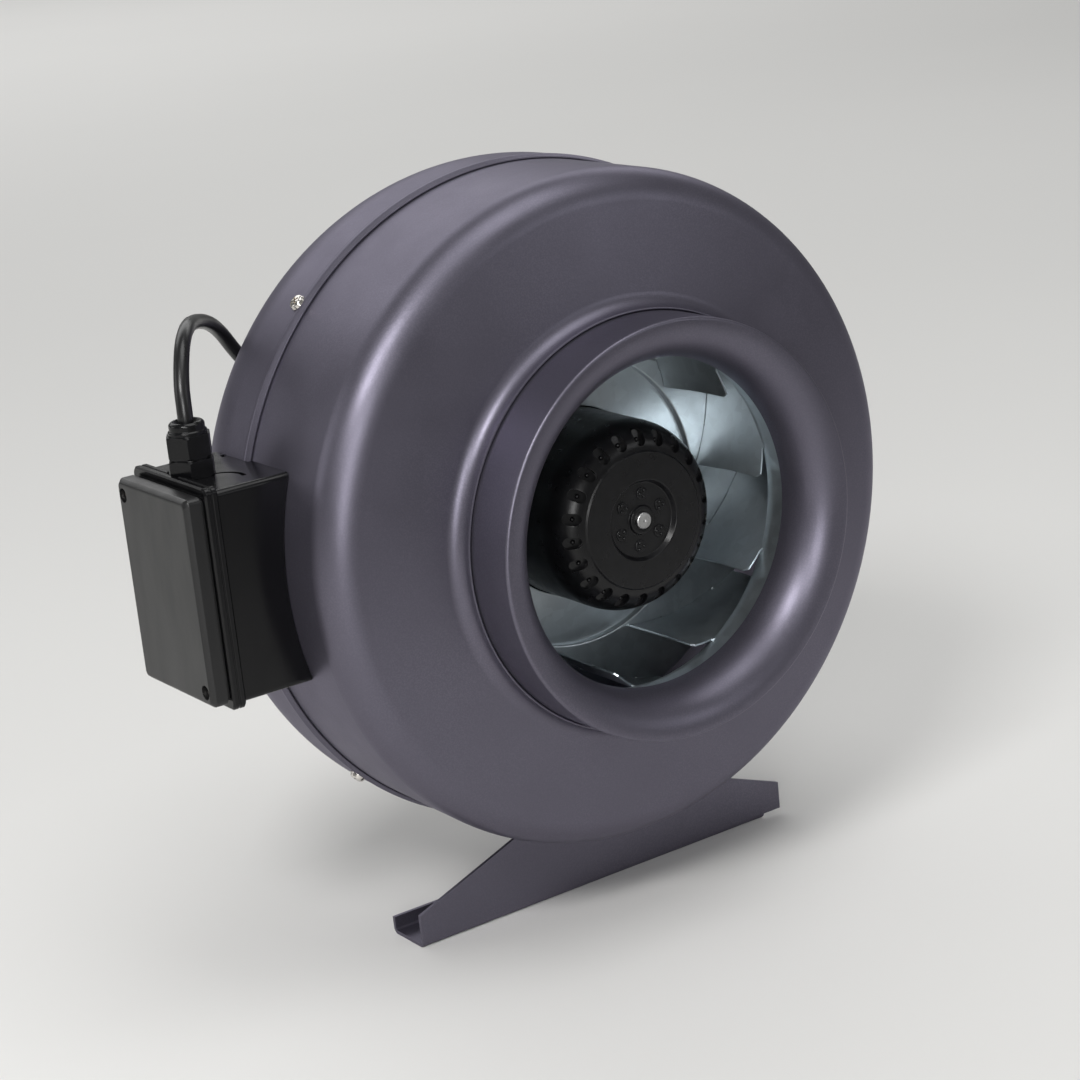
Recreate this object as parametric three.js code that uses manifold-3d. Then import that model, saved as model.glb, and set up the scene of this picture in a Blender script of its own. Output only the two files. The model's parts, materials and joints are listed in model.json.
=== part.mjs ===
// Inline duct fan for 200 mm round duct: two pressed steel shells around an external rotor
// motor that carries a backward-curved centrifugal impeller, a terminal box and a sheet foot.
//
// Millimetres, +Z up. The air goes in at the -Y end and comes out at the +Y end.
// Everything is built in the fan's own frame and then lifted on to the foot:
//   x to the right, z up from the fan axis, and y the station along the axis, 0 at the inlet rim.
// The object's origin is the centre of the foot's underside.

import * as THREE from 'three';
import { mergeVertices } from 'three/addons/utils/BufferGeometryUtils.js';
import Module from 'manifold-3d';

const wasm = await Module();
wasm.setup();

// ---------------------------------------------------------------- driving dimensions

const AXIS_HEIGHT = 199;
const OVERALL_LENGTH = 236;
const GAP = 0.3;               // left between pieces that touch
const SHEET = 1.2;             // the two shells
const THIN_SHEET = 1;          // inlet cone and impeller
const CASE_SIDES = 36;         // facets around the case and impeller
const MOTOR_SIDES = 32;        // facets around the rotor
const BORE_SIDES = 20;         // facets around the shaft and bearings

const SPIGOT_R = 99;
const SPIGOT_LENGTH = 28.3;
const DRUM_R = 163;
const SEAM_Y = OVERALL_LENGTH / 2;
const THROAT_R = 78.5;
const THROAT_Y = 22;

const SKIRT_R = DRUM_R + GAP + SHEET + 0.4;
const SKIRT_OVERLAP = 13;
const CASE_SCREW_Y = SEAM_Y + 7;
const CASE_SCREW_ANGLES = [45, 135, 225, 315];

const ROTOR_R = 46;
const ROTOR_FRONT_Y = 32;
const ROTOR_BACK_Y = 91.8;
const SHAFT_R = 4;
const SHAFT_FRONT_Y = 31;
const BEARING_TUBE_R = 14;
const BEARING_OUTER_R = 11;
const FRONT_BEARING_Y = 50;
const REAR_BEARING_Y = 94;
const BEARING_WIDTH = 7;
const STATOR_R = 38;
const STATOR_FLANGE_Y = 99;
const SUPPORT_Y = 105.3;

const IMPELLER_R = 110;
const BLADE_COUNT = 10;
const BLADE_INNER_R = 74;
const BLADE_ANGLE = 30;        // degrees from the tangent
const FIRST_BLADE = 1;         // degrees up from the right, at rest
const BACK_PLATE_Y = 86;
const EYE_R = 81.2;

const FOOT_LENGTH = 225;
const FOOT_FRONT_Y = 89.1;
const FOOT_DEPTH = 27;
const FOOT_SHEET = 1.8;
const FOOT_SCREW_ANGLE = 7.5;  // degrees each side of straight down

const BOX_FRONT_Y = 83;
const BOX_REAR_Y = 151;
const BOX_TOP_Z = 51.5;
const BOX_BOTTOM_Z = -47.5;
const BOX_LID_X = -208.2;
const BOX_JOINT_X = -198.4;
const BOX_WALL = 2.4;
const BOX_MID_Y = (BOX_FRONT_Y + BOX_REAR_Y) / 2;

const GLAND_X = -184.4;
const GLAND_Y = 119;
const GLAND_HEX = 19.5;        // across the flats
const CABLE_R = 3.6;

// ---------------------------------------------------------------- materials

const material = (color, roughness, metalness) =>
  new THREE.MeshStandardMaterial({ color, roughness, metalness });
const powderCoat = material(0x46424e, 0.5, 0.3);
const blackPlastic = material(0x151516, 0.3, 0);
const blackEnamel = material(0x0c0c0d, 0.35, 0.2);
const galvanised = material(0x8b959b, 0.35, 0.9);
const nickelSteel = material(0xb9b7b2, 0.25, 1);
const castAluminium = material(0x9a9c9e, 0.5, 0.9);
const groundSteel = material(0x8a8a8c, 0.3, 1);
const copperWire = material(0x8a4a22, 0.4, 0.7);
const laminations = material(0x55585c, 0.5, 0.9);
const blackRubber = material(0x131314, 0.7, 0);
const greyPlastic = material(0xc9c7bd, 0.5, 0);

// ---------------------------------------------------------------- solids

const radians = THREE.MathUtils.degToRad;

// A closed, outward-facing geometry with shared corners merged and no empty triangles.
function closed(geometry) {
  const bare = geometry.clone();
  bare.deleteAttribute('normal');
  bare.deleteAttribute('uv');
  const merged = mergeVertices(bare, 1e-4);
  const corners = merged.getIndex().array;
  const position = merged.getAttribute('position');
  const point = (i) => new THREE.Vector3().fromBufferAttribute(position, i);
  const kept = [];
  let volume = 0;
  for (let i = 0; i < corners.length; i += 3) {
    const [a, b, c] = [corners[i], corners[i + 1], corners[i + 2]];
    if (a === b || b === c || c === a) continue;
    kept.push(a, b, c);
    volume += point(a).dot(point(b).cross(point(c)));
  }
  if (volume < 0) kept.reverse();
  merged.setIndex(kept);
  return merged;
}

function toSolid(geometry) {
  const mesh = closed(geometry);
  return new wasm.Manifold(new wasm.Mesh({
    numProp: 3,
    vertProperties: new Float32Array(mesh.getAttribute('position').array),
    triVerts: new Uint32Array(mesh.getIndex().array),
  }));
}

function fromSolid(solid) {
  const mesh = solid.getMesh();
  const geometry = new THREE.BufferGeometry();
  geometry.setAttribute('position', new THREE.BufferAttribute(mesh.vertProperties, 3));
  geometry.setIndex(new THREE.BufferAttribute(mesh.triVerts, 1));
  return geometry;
}

function join(...geometries) {
  return fromSolid(geometries.map(toSolid).reduce((all, next) => all.add(next)));
}

function cut(geometry, ...cutters) {
  return fromSolid(cutters.map(toSolid).reduce((rest, next) => rest.subtract(next), toSolid(geometry)));
}

function common(geometry, other) {
  return fromSolid(toSolid(geometry).intersect(toSolid(other)));
}

// A ring or round body about the y axis, from an outline of [radius, y] points.
function revolve(outline, sides = CASE_SIDES) {
  const onAxis = outline[0][0] === 0 && outline[outline.length - 1][0] === 0;
  const points = outline.map(([r, y]) => new THREE.Vector2(r, y));
  if (!onAxis) points.push(points[0].clone());
  return closed(new THREE.LatheGeometry(points, sides, Math.PI / sides));
}

function tube(innerR, outerR, fromY, toY, sides = CASE_SIDES) {
  return revolve([[innerR, fromY], [outerR, fromY], [outerR, toY], [innerR, toY]], sides);
}

function rod(r, fromY, toY, sides = BORE_SIDES) {
  return revolve([[0, fromY], [r, fromY], [r, toY], [0, toY]], sides);
}

function block(x0, x1, y0, y1, z0, z1) {
  const geometry = new THREE.BoxGeometry(x1 - x0, y1 - y0, z1 - z0);
  return geometry.translate((x0 + x1) / 2, (y0 + y1) / 2, (z0 + z1) / 2);
}

function extrude(shape, depth, curveSegments = 6) {
  return new THREE.ExtrudeGeometry(shape, { depth, bevelEnabled: false, curveSegments });
}

// A shape drawn in x and z, made solid from y0 to y1.
function prismY(shape, y0, y1, curveSegments) {
  const turn = new THREE.Matrix4().makeRotationX(Math.PI / 2);
  return extrude(shape, y1 - y0, curveSegments).applyMatrix4(turn).translate(0, y1, 0);
}

function polygon(points) {
  return new THREE.Shape(points.map(([x, y]) => new THREE.Vector2(x, y)));
}

function regularPolygon(r, sides, turn = 0) {
  const corner = (i) => [r * Math.cos(turn + (i * 2 * Math.PI) / sides),
    r * Math.sin(turn + (i * 2 * Math.PI) / sides)];
  return polygon(Array.from({ length: sides }, (_, i) => corner(i)));
}

// A solid through convex outlines of equal point counts, such as a box with bevelled edges.
function loft(sections) {
  const count = sections[0].length;
  const position = sections.flat().flatMap((p) => [p.x, p.y, p.z]);
  const index = [];
  for (let s = 0; s < sections.length - 1; s += 1) {
    for (let i = 0; i < count; i += 1) {
      const a = s * count + i;
      const b = s * count + ((i + 1) % count);
      index.push(a, b, b + count, a, b + count, a + count);
    }
  }
  const last = (sections.length - 1) * count;
  for (let i = 1; i < count - 1; i += 1) {
    index.push(0, i + 1, i, last, last + i, last + i + 1);
  }
  const geometry = new THREE.BufferGeometry();
  geometry.setAttribute('position', new THREE.Float32BufferAttribute(position, 3));
  geometry.setIndex(index);
  return closed(geometry);
}

// A round-cornered rectangle in the plane x, from y0 to y1 and z0 to z1.
function roundedLoop(x, y0, y1, z0, z1, radius, steps = 3) {
  const corners = [[y1 - radius, z1 - radius, 0], [y0 + radius, z1 - radius, 90],
    [y0 + radius, z0 + radius, 180], [y1 - radius, z0 + radius, 270]];
  return corners.flatMap(([cy, cz, start]) => Array.from({ length: steps + 1 }, (_, i) => {
    const angle = radians(start + (90 * i) / steps);
    return new THREE.Vector3(x, cy + radius * Math.cos(angle), cz + radius * Math.sin(angle));
  }));
}

function roundedBlock(x0, x1, inset, radius) {
  const loop = (x) => roundedLoop(x, BOX_FRONT_Y + inset, BOX_REAR_Y - inset,
    BOX_BOTTOM_Z + inset, BOX_TOP_Z - inset, radius);
  return loft([loop(x0), loop(x1)]);
}

// Turns a geometry made along y so that it lies along a direction, with y = 0 at a point.
function along(geometry, point, direction) {
  const turn = new THREE.Quaternion().setFromUnitVectors(
    new THREE.Vector3(0, 1, 0), direction.clone().normalize());
  return geometry.clone().applyQuaternion(turn).translate(point.x, point.y, point.z);
}

// The radial direction at an angle in degrees, 0 to the right and 90 straight up.
function radial(angle) {
  return new THREE.Vector3(Math.cos(radians(angle)), 0, Math.sin(radians(angle)));
}

function atRadius(angle, r, y) {
  return radial(angle).multiplyScalar(r).setY(y);
}

function arc(centreR, centreY, radius, fromDegrees, toDegrees, steps) {
  return Array.from({ length: steps + 1 }, (_, i) => {
    const angle = radians(fromDegrees + ((toDegrees - fromDegrees) * i) / steps);
    return [centreR + radius * Math.cos(angle), centreY + radius * Math.sin(angle)];
  });
}

// ---------------------------------------------------------------- the assembly

const fan = new THREE.Group();
fan.position.set(0, -(FOOT_FRONT_Y + FOOT_DEPTH / 2), AXIS_HEIGHT);
const object = new THREE.Group();
object.add(fan);

function add(name, geometry, finish) {
  const mesh = new THREE.Mesh(closed(geometry), finish);
  mesh.name = name;
  fan.add(mesh);
  return mesh;
}

// A piece made along y and placed with y = 0 at a point, pointing along a direction.
function addAlong(name, geometry, finish, point, direction) {
  const mesh = add(name, geometry, finish);
  mesh.position.copy(point);
  mesh.quaternion.setFromUnitVectors(new THREE.Vector3(0, 1, 0), direction.clone().normalize());
  return mesh;
}

// A pan-head screw: its head stands on y = 0 towards +y and its shank goes to -length.
function screw(headR, headHeight, shankR, length) {
  return revolve([[0, headHeight], [headR * 0.6, headHeight], [headR, headHeight * 0.45],
    [headR, 0], [shankR, 0], [shankR, -length], [0, -length]], 8);
}

function hexNut(acrossFlats, height, boreR) {
  const shape = regularPolygon(acrossFlats / Math.sqrt(3), 6, Math.PI / 6);
  shape.holes.push(regularPolygon(boreR, 8));
  return prismY(shape, 0, height);
}

// ---------------------------------------------------------------- case

const SHOULDER_R = 18;
const SHOULDER_Y = 61;
const FACE_SLOPE = 10;         // degrees that the front face leans back from flat
const NECK_R = SPIGOT_R + GAP + SHEET + 0.1;
const NECK_FILLET = 8;

// The front shell's side, shoulder, dished face and neck, at an inward offset from its outside.
function inletShellCurve(offset) {
  const fillet = NECK_FILLET + offset;
  const filletR = NECK_R + NECK_FILLET;
  const shoulder = arc(DRUM_R - SHOULDER_R, SHOULDER_Y, SHOULDER_R - offset, 0, -90 + FACE_SLOPE, 5);
  const neck = arc(filletR, SPIGOT_LENGTH, fillet, 90 + FACE_SLOPE, 180, 2);
  return [[DRUM_R - offset, SEAM_Y + SKIRT_OVERLAP], ...shoulder, ...neck];
}

const DOME_R = 60;
const DOME_Y = 138.5;
const DOME_END = 75;           // degrees of the dome before the cone to the outlet neck
const OUTLET_NECK_Y = OVERALL_LENGTH - SPIGOT_LENGTH;

// The rear shell's skirt, dome, cone and outlet spigot, at an inward offset from its outside.
function outletShellCurve(offset) {
  const dome = arc(SKIRT_R - DOME_R, DOME_Y, DOME_R - offset, 0, DOME_END, 5);
  const fillet = arc(SPIGOT_R + NECK_FILLET, OUTLET_NECK_Y, NECK_FILLET + offset, 255, 180, 2);
  return [[SKIRT_R - offset, SEAM_Y], ...dome, ...fillet, [SPIGOT_R - offset, OVERALL_LENGTH]];
}

function radialHole(angle, y, r, fromR, toR, sides = 8) {
  const hole = rod(r, fromR, toR, sides);
  return along(hole, new THREE.Vector3(0, y, 0), radial(angle));
}

const CASE_HOLE_R = 2.4;
const footAngles = [270 - FOOT_SCREW_ANGLE, 270 + FOOT_SCREW_ANGLE];
const FOOT_SCREW_Y = FOOT_FRONT_Y + 13;
const BOX_SCREW_YS = [98, 138];

// The lead goes in through the dome at a slant, in a slanted hole.
const LEAD_ANGLE = 146.4;
const LEAD_Y = 196.4;
const leadRise = Math.asin((LEAD_Y - DOME_Y) / DOME_R);
const leadPoint = atRadius(LEAD_ANGLE, SKIRT_R - DOME_R + DOME_R * Math.cos(leadRise), LEAD_Y);
const leadNormal = radial(LEAD_ANGLE).multiplyScalar(Math.cos(leadRise)).setY(Math.sin(leadRise));
const leadDirection = new THREE.Vector3(0.593, -0.269, -0.759).normalize();
const LEAD_HOLE_R = 5.8;

function buildCase() {
  const seamHoles = CASE_SCREW_ANGLES.map((angle) =>
    radialHole(angle, CASE_SCREW_Y, CASE_HOLE_R, DRUM_R - 6, SKIRT_R + 3));
  const footHoles = footAngles.map((angle) =>
    radialHole(angle, FOOT_SCREW_Y, CASE_HOLE_R + 0.5, DRUM_R - 6, DRUM_R + 3));
  const boxHoles = BOX_SCREW_YS.map((y) => radialHole(180, y, CASE_HOLE_R, DRUM_R - 6, SKIRT_R + 3));

  const front = revolve([...inletShellCurve(0), ...inletShellCurve(SHEET).reverse()]);
  add('inlet_shell', cut(front, ...seamHoles, ...footHoles, boxHoles[0]), powderCoat);

  const rear = revolve([...outletShellCurve(0), ...outletShellCurve(SHEET).reverse()]);
  const leadHole = along(rod(LEAD_HOLE_R, -22, 22, 16), leadPoint, leadDirection);
  add('outlet_shell', cut(rear, ...seamHoles, boxHoles[1], leadHole), powderCoat);

  CASE_SCREW_ANGLES.forEach((angle, i) => {
    addAlong(`case_screw_${i + 1}`, screw(4, 2.6, 2, 14), nickelSteel,
      atRadius(angle, SKIRT_R + GAP, CASE_SCREW_Y), radial(angle));
  });
}

// A pressed ring: the spigot's outside, folded over at the rim into the bell that leads the air
// to the throat.
function buildInletCone() {
  const rimR = SPIGOT_R - 0.6;
  const bell = (offset, from, steps) => arc(0, 0, 1, from, 90, steps).map(([c, s]) =>
    [rimR - (rimR - THROAT_R - offset) * s, THROAT_Y - (THROAT_Y - offset) * c]);
  const front = bell(0, 0, 6);
  const back = bell(THIN_SHEET, 12, 4);
  add('inlet_cone', revolve([
    [SPIGOT_R, 42], [SPIGOT_R, 0.6], ...front, [THROAT_R, THROAT_Y + 3],
    [THROAT_R + THIN_SHEET, THROAT_Y + 3], ...back.reverse(), [SPIGOT_R - THIN_SHEET, 2.4],
    [SPIGOT_R - THIN_SHEET, 42],
  ]), powderCoat);
}

// ---------------------------------------------------------------- foot

const SADDLE_INNER_R = DRUM_R + GAP + 0.1;
const SADDLE_OUTER_R = SADDLE_INNER_R + FOOT_SHEET;

// One sheet: a channel with a tall front flange that rises to the drum, a low rear lip, and two
// saddle tabs bent back from the flange that the case is screwed to.
function buildFoot() {
  const half = FOOT_LENGTH / 2;
  const endHeight = 17;
  const topHalf = 44;
  const topZ = -156.5;
  const rearLip = 8.7;
  const notchLength = 11;
  const notchHeight = 2.6;
  const floorZ = -AXIS_HEIGHT;
  const backY = FOOT_FRONT_Y + FOOT_DEPTH;
  const flangeShape = polygon([
    [-half, floorZ], [half - notchLength, floorZ], [half - notchLength + 1, floorZ + notchHeight],
    [half, floorZ + notchHeight], [half, floorZ + endHeight], [topHalf, topZ], [-topHalf, topZ],
    [-half, floorZ + endHeight],
  ]);
  const flange = cut(prismY(flangeShape, FOOT_FRONT_Y, FOOT_FRONT_Y + FOOT_SHEET),
    rod(SADDLE_INNER_R, FOOT_FRONT_Y - 5, FOOT_FRONT_Y + 10, CASE_SIDES));
  const plate = block(-half, half - notchLength, FOOT_FRONT_Y, backY, floorZ, floorZ + FOOT_SHEET);
  const lip = block(-half, half - notchLength, backY - FOOT_SHEET, backY, floorZ, floorZ + rearLip);
  const saddle = tube(SADDLE_INNER_R, SADDLE_OUTER_R, FOOT_FRONT_Y, FOOT_FRONT_Y + 23);
  const tabs = [-1, 1].map((side) => common(saddle,
    block(Math.min(side * 9, side * 34), Math.max(side * 9, side * 34), 80, 120, -180, -140)));
  const screwHoles = footAngles.map((angle) =>
    radialHole(angle, FOOT_SCREW_Y, 2.9, DRUM_R - 6, DRUM_R + 10));
  const fixingHoles = [-1, 1].map((side) =>
    along(rod(3.5, -5, 5, 14), new THREE.Vector3(side * 62, FOOT_FRONT_Y + FOOT_DEPTH / 2, floorZ),
      new THREE.Vector3(0, 0, 1)));
  add('foot_bracket', cut(join(flange, plate, lip, ...tabs), ...screwHoles, ...fixingHoles), powderCoat);

  ['left', 'right'].forEach((side, i) => {
    const outward = radial(footAngles[i]);
    addAlong(`foot_screw_${side}`, screw(4.6, 3, 2.5, 14), nickelSteel,
      atRadius(footAngles[i], DRUM_R - SHEET - 0.9, FOOT_SCREW_Y), outward.clone().negate());
    addAlong(`foot_nut_${side}`, hexNut(8, 4, 2.8), nickelSteel,
      atRadius(footAngles[i], SADDLE_OUTER_R + GAP, FOOT_SCREW_Y), outward);
  });
}

// ---------------------------------------------------------------- motor

const HUB_HOLE_R = 30;
const WIRE_HOLE = new THREE.Vector3(-20, 0, 20);
const WIRE_HOLE_R = 5.8;
const HUB_ANGLES = [0, 90, 180, 270];

function axialHole(x, z, r, fromY, toY, sides = 8) {
  return rod(r, fromY, toY, sides).translate(x, 0, z);
}

// A pressed four-armed spider between the case screws and the stator.
function buildMotorSupport() {
  const hubR = 41;
  const armHalf = 10;
  const wallR = (DRUM_R - SHEET) * Math.cos(Math.PI / CASE_SIDES);
  const footR = Math.sqrt(wallR ** 2 - armHalf ** 2) - GAP;
  const thick = 2;
  const back = SUPPORT_Y + thick;
  const arms = CASE_SCREW_ANGLES.flatMap((angle) => {
    const turn = new THREE.Matrix4().makeRotationY(-radians(angle));
    const strip = block(hubR - 6, footR, SUPPORT_Y, back, -armHalf, armHalf);
    const edgeFlanges = [-armHalf, armHalf - thick].map((z) =>
      block(hubR - 3, footR, SUPPORT_Y, back + 5, z, z + thick));
    const foot = block(footR - thick, footR, SUPPORT_Y, SEAM_Y + SKIRT_OVERLAP, -armHalf, armHalf);
    return [strip, ...edgeFlanges, foot].map((piece) => piece.applyMatrix4(turn));
  });
  const hub = tube(12, hubR, SUPPORT_Y, back, MOTOR_SIDES);
  const caseHoles = CASE_SCREW_ANGLES.map((angle) =>
    radialHole(angle, CASE_SCREW_Y, CASE_HOLE_R, footR - 5, footR + 5));
  const hubHoles = HUB_ANGLES.map((angle) => {
    const p = atRadius(angle, HUB_HOLE_R, 0);
    return axialHole(p.x, p.z, 2.4, SUPPORT_Y - 2, back + 2);
  });
  const wireHole = axialHole(WIRE_HOLE.x, WIRE_HOLE.z, WIRE_HOLE_R, SUPPORT_Y - 2, back + 6);
  add('motor_support', cut(join(hub, ...arms), ...caseHoles, ...hubHoles, wireHole), galvanised);

  HUB_ANGLES.forEach((angle, i) => {
    addAlong(`support_screw_${i + 1}`, screw(3.8, 2.8, 2, 7.5), nickelSteel,
      atRadius(angle, HUB_HOLE_R, back + GAP), new THREE.Vector3(0, 1, 0));
  });
}

// The cast end plate and bearing tube that the stator is pressed on to.
function buildStator() {
  const seatR = BEARING_OUTER_R + 0.15;
  const frontSeat = FRONT_BEARING_Y + BEARING_WIDTH + 0.2;
  const flangeBack = SUPPORT_Y - GAP;
  const body = revolve([
    [seatR, FRONT_BEARING_Y - 1], [BEARING_TUBE_R, FRONT_BEARING_Y - 1],
    [BEARING_TUBE_R, STATOR_FLANGE_Y], [42, STATOR_FLANGE_Y], [42, flangeBack], [seatR, flangeBack],
    [seatR, REAR_BEARING_Y - 0.2], [9.6, REAR_BEARING_Y - 0.2], [9.6, frontSeat], [seatR, frontSeat],
  ], MOTOR_SIDES);
  const tapped = HUB_ANGLES.map((angle) => {
    const p = atRadius(angle, HUB_HOLE_R, 0);
    return axialHole(p.x, p.z, 2.3, flangeBack - 5.2, flangeBack + 2);
  });
  const wireHole = axialHole(WIRE_HOLE.x, WIRE_HOLE.z, WIRE_HOLE_R, STATOR_FLANGE_Y - 2, flangeBack + 2);
  add('stator_flange', cut(body, ...tapped, wireHole), castAluminium);

  const slots = 12;
  const coreFront = 61;
  const coreBack = 88;
  const slotFloorR = 21;
  const slotTopR = 35.5;
  const outline = [];
  for (let i = 0; i < slots; i += 1) {
    const turn = (i * 2 * Math.PI) / slots;
    const corner = (r, halfWidth) => {
      const reach = Math.sqrt(r * r - halfWidth * halfWidth);
      outline.push([reach * Math.cos(turn) - halfWidth * Math.sin(turn),
        reach * Math.sin(turn) + halfWidth * Math.cos(turn)]);
    };
    corner(STATOR_R, -1.4);
    corner(slotTopR, -1.4);
    corner(slotTopR, -5.2);
    corner(slotFloorR, -2.6);
    corner(slotFloorR, 2.6);
    corner(slotTopR, 5.2);
    corner(slotTopR, 1.4);
    corner(STATOR_R, 1.4);
  }
  const core = polygon(outline);
  core.holes.push(regularPolygon(BEARING_TUBE_R + GAP, BORE_SIDES));
  add('stator_core', prismY(core, coreFront, coreBack), laminations);

  const bars = Array.from({ length: slots }, (_, i) => {
    const bar = polygon([[slotFloorR + 0.6, -2.1], [slotTopR - 0.8, -4.5], [slotTopR - 0.8, 4.5],
      [slotFloorR + 0.6, 2.1]]);
    const turn = new THREE.Matrix4().makeRotationY((i * 2 * Math.PI) / slots);
    return prismY(bar, coreFront - 3, coreBack + 3).applyMatrix4(turn);
  });
  const coil = (y0, y1) => revolve([[18, y0 + 1], [19.5, y0], [33.5, y0], [35.5, y0 + 1.5],
    [35.5, y1], [18, y1]], BORE_SIDES);
  add('stator_winding', join(coil(54, coreFront - GAP), coil(coreBack + GAP, 94.6), ...bars), copperWire);
}

function buildBearing(end, y) {
  const grooveR = 7.6;
  const ballR = 1.55;
  const balls = 7;
  add(`${end}_bearing_outer_race`, tube(9.3, BEARING_OUTER_R, y, y + BEARING_WIDTH, BORE_SIDES), groundSteel);
  add(`${end}_bearing_inner_race`, tube(SHAFT_R + 0.15, 5.9, y, y + BEARING_WIDTH, BORE_SIDES), groundSteel);
  const middle = y + BEARING_WIDTH / 2;
  const cage = tube(grooveR - 0.5, grooveR + 0.5, middle - 1.9, middle + 1.9, 14);
  const beads = Array.from({ length: balls }, (_, i) => {
    const centre = atRadius((360 * i) / balls, grooveR, middle);
    return new THREE.IcosahedronGeometry(ballR, 0).translate(centre.x, centre.y, centre.z);
  });
  add(`${end}_bearing_cage`, join(cage, ...beads), groundSteel);
}

// A deep-drawn can whose shaft turns in the stator's bearings; the impeller sits on its rear rim.
function buildRotor() {
  const wall = 1.3;
  const rimR = 56;
  const outside = [[SHAFT_R + 0.15, ROTOR_FRONT_Y + 2], [17.5, ROTOR_FRONT_Y + 2], [19.5, ROTOR_FRONT_Y],
    [32, ROTOR_FRONT_Y], [34, ROTOR_FRONT_Y + 1.2], [42, 41.5], [ROTOR_R, 50]];
  const rim = [[ROTOR_R, ROTOR_BACK_Y - wall], [rimR, ROTOR_BACK_Y - wall], [rimR, ROTOR_BACK_Y]];
  const inside = [[ROTOR_R - wall, ROTOR_BACK_Y], [ROTOR_R - wall, 51], [41, 43.2],
    [33.2, 36], [8.5, 36], [8.5, 46], [SHAFT_R + 0.15, 46]];
  const can = revolve([...outside, ...rim, ...inside], MOTOR_SIDES);
  const rivetR = 51;
  const rivetAngles = [45, 135, 225, 315];
  const rivetHoles = rivetAngles.map((angle) => {
    const p = atRadius(angle, rivetR, 0);
    return axialHole(p.x, p.z, 2.3, ROTOR_BACK_Y - 6, ROTOR_BACK_Y + 2);
  });
  add('rotor_can', cut(can, ...rivetHoles), blackEnamel);
  add('rotor_core', tube(STATOR_R + 0.6, ROTOR_R - wall - GAP, 59, 90, MOTOR_SIDES), laminations);
  add('motor_shaft', revolve([[0, SHAFT_FRONT_Y], [SHAFT_R - 0.6, SHAFT_FRONT_Y],
    [SHAFT_R, SHAFT_FRONT_Y + 0.6], [SHAFT_R, 103.4],
    [SHAFT_R - 0.6, 104], [0, 104]], BORE_SIDES), groundSteel);

  // The back plate: an annulus with a shallow recess around the rotor.
  const step = 3;
  const recessR = 71.5;
  const plateFront = BACK_PLATE_Y;
  const plate = revolve([
    [ROTOR_R + 0.5, plateFront + step], [recessR - 1, plateFront + step], [recessR + 0.5, plateFront],
    [IMPELLER_R, plateFront], [IMPELLER_R, plateFront + THIN_SHEET], [recessR + 1.1, plateFront + THIN_SHEET],
    [recessR - 0.4, plateFront + step + THIN_SHEET], [ROTOR_R + 0.5, plateFront + step + THIN_SHEET],
  ]);
  add('impeller_back_plate', cut(plate, ...rivetHoles), galvanised);
  // The rivets' heads are behind the rotor's rim, and their tails end flush with the plate.
  const rivetLength = ROTOR_BACK_Y - plateFront - step;
  const rivet = revolve([[0, 1.6], [2.4, 1.6], [4, 0], [2, 0], [2, -rivetLength], [0, -rivetLength]], 8);
  rivetAngles.forEach((angle, i) => {
    addAlong(`hub_rivet_${i + 1}`, rivet, nickelSteel,
      atRadius(angle, rivetR, ROTOR_BACK_Y + GAP), new THREE.Vector3(0, 1, 0));
  });
}

const SHROUD_BEND_R = 14;
const SHROUD_BEND_Y = 34;
const SHROUD_TURN = 60;        // degrees, from the axial inlet lip to the cone

// The impeller's front ring: an inlet lip around the throat, a bend and a cone.
function shroudCurve(offset) {
  const centreR = EYE_R + SHROUD_BEND_R;
  const bend = arc(centreR, SHROUD_BEND_Y, SHROUD_BEND_R - offset, 180, 180 - SHROUD_TURN, 3);
  const [endR, endY] = bend[bend.length - 1];
  const rise = (IMPELLER_R - endR) / Math.tan(radians(SHROUD_TURN));
  return [[EYE_R + offset, 21], ...bend, [IMPELLER_R, endY + rise]];
}

// A blade: a strip that leans back from the eye at a constant angle to the tangent.
function bladeShape() {
  const steps = 6;
  const outerR = IMPELLER_R - 1;
  const middle = Array.from({ length: steps + 1 }, (_, i) => {
    const r = BLADE_INNER_R + ((outerR - BLADE_INNER_R) * i) / steps;
    const turn = Math.log(r / BLADE_INNER_R) / Math.tan(radians(BLADE_ANGLE));
    return new THREE.Vector2(r * Math.cos(turn), r * Math.sin(turn));
  });
  const side = (offset) => middle.map((p, i) => {
    const tangent = middle[Math.min(i + 1, steps)].clone().sub(middle[Math.max(i - 1, 0)]).normalize();
    return new THREE.Vector2(p.x - tangent.y * offset, p.y + tangent.x * offset);
  });
  return new THREE.Shape([...side(-THIN_SHEET / 2), ...side(THIN_SHEET / 2).reverse()]);
}

function buildImpeller() {
  const bladeBack = BACK_PLATE_Y - GAP;
  const strip = prismY(bladeShape(), 30, bladeBack);
  const clearance = shroudCurve(-2 * GAP).slice(2);
  const trim = revolve([[60, 20], [60, 37], [75, 37], ...clearance,
    [IMPELLER_R + 4, 61], [IMPELLER_R + 4, 20]]);
  const blade = cut(strip, trim);
  for (let i = 0; i < BLADE_COUNT; i += 1) {
    const mesh = add(`impeller_blade_${String(i + 1).padStart(2, '0')}`, blade, galvanised);
    mesh.rotation.y = (i * 2 * Math.PI) / BLADE_COUNT - radians(FIRST_BLADE);
  }
  add('impeller_shroud', revolve([...shroudCurve(0), ...shroudCurve(THIN_SHEET).reverse()]), galvanised);
}

// ---------------------------------------------------------------- terminal box

const LID_SCREWS = {
  upper: [BOX_REAR_Y - 5.7, BOX_TOP_Z - 8.5],
  lower: [BOX_FRONT_Y + 5.7, BOX_BOTTOM_Z + 8],
};
const BOX_FLOOR_R = 168;

function postX(yz, r, x0, x1, sides = 12) {
  const upright = rod(r, x0, x1, sides);
  return along(upright, new THREE.Vector3(0, yz[0], yz[1]), new THREE.Vector3(1, 0, 0));
}

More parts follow.
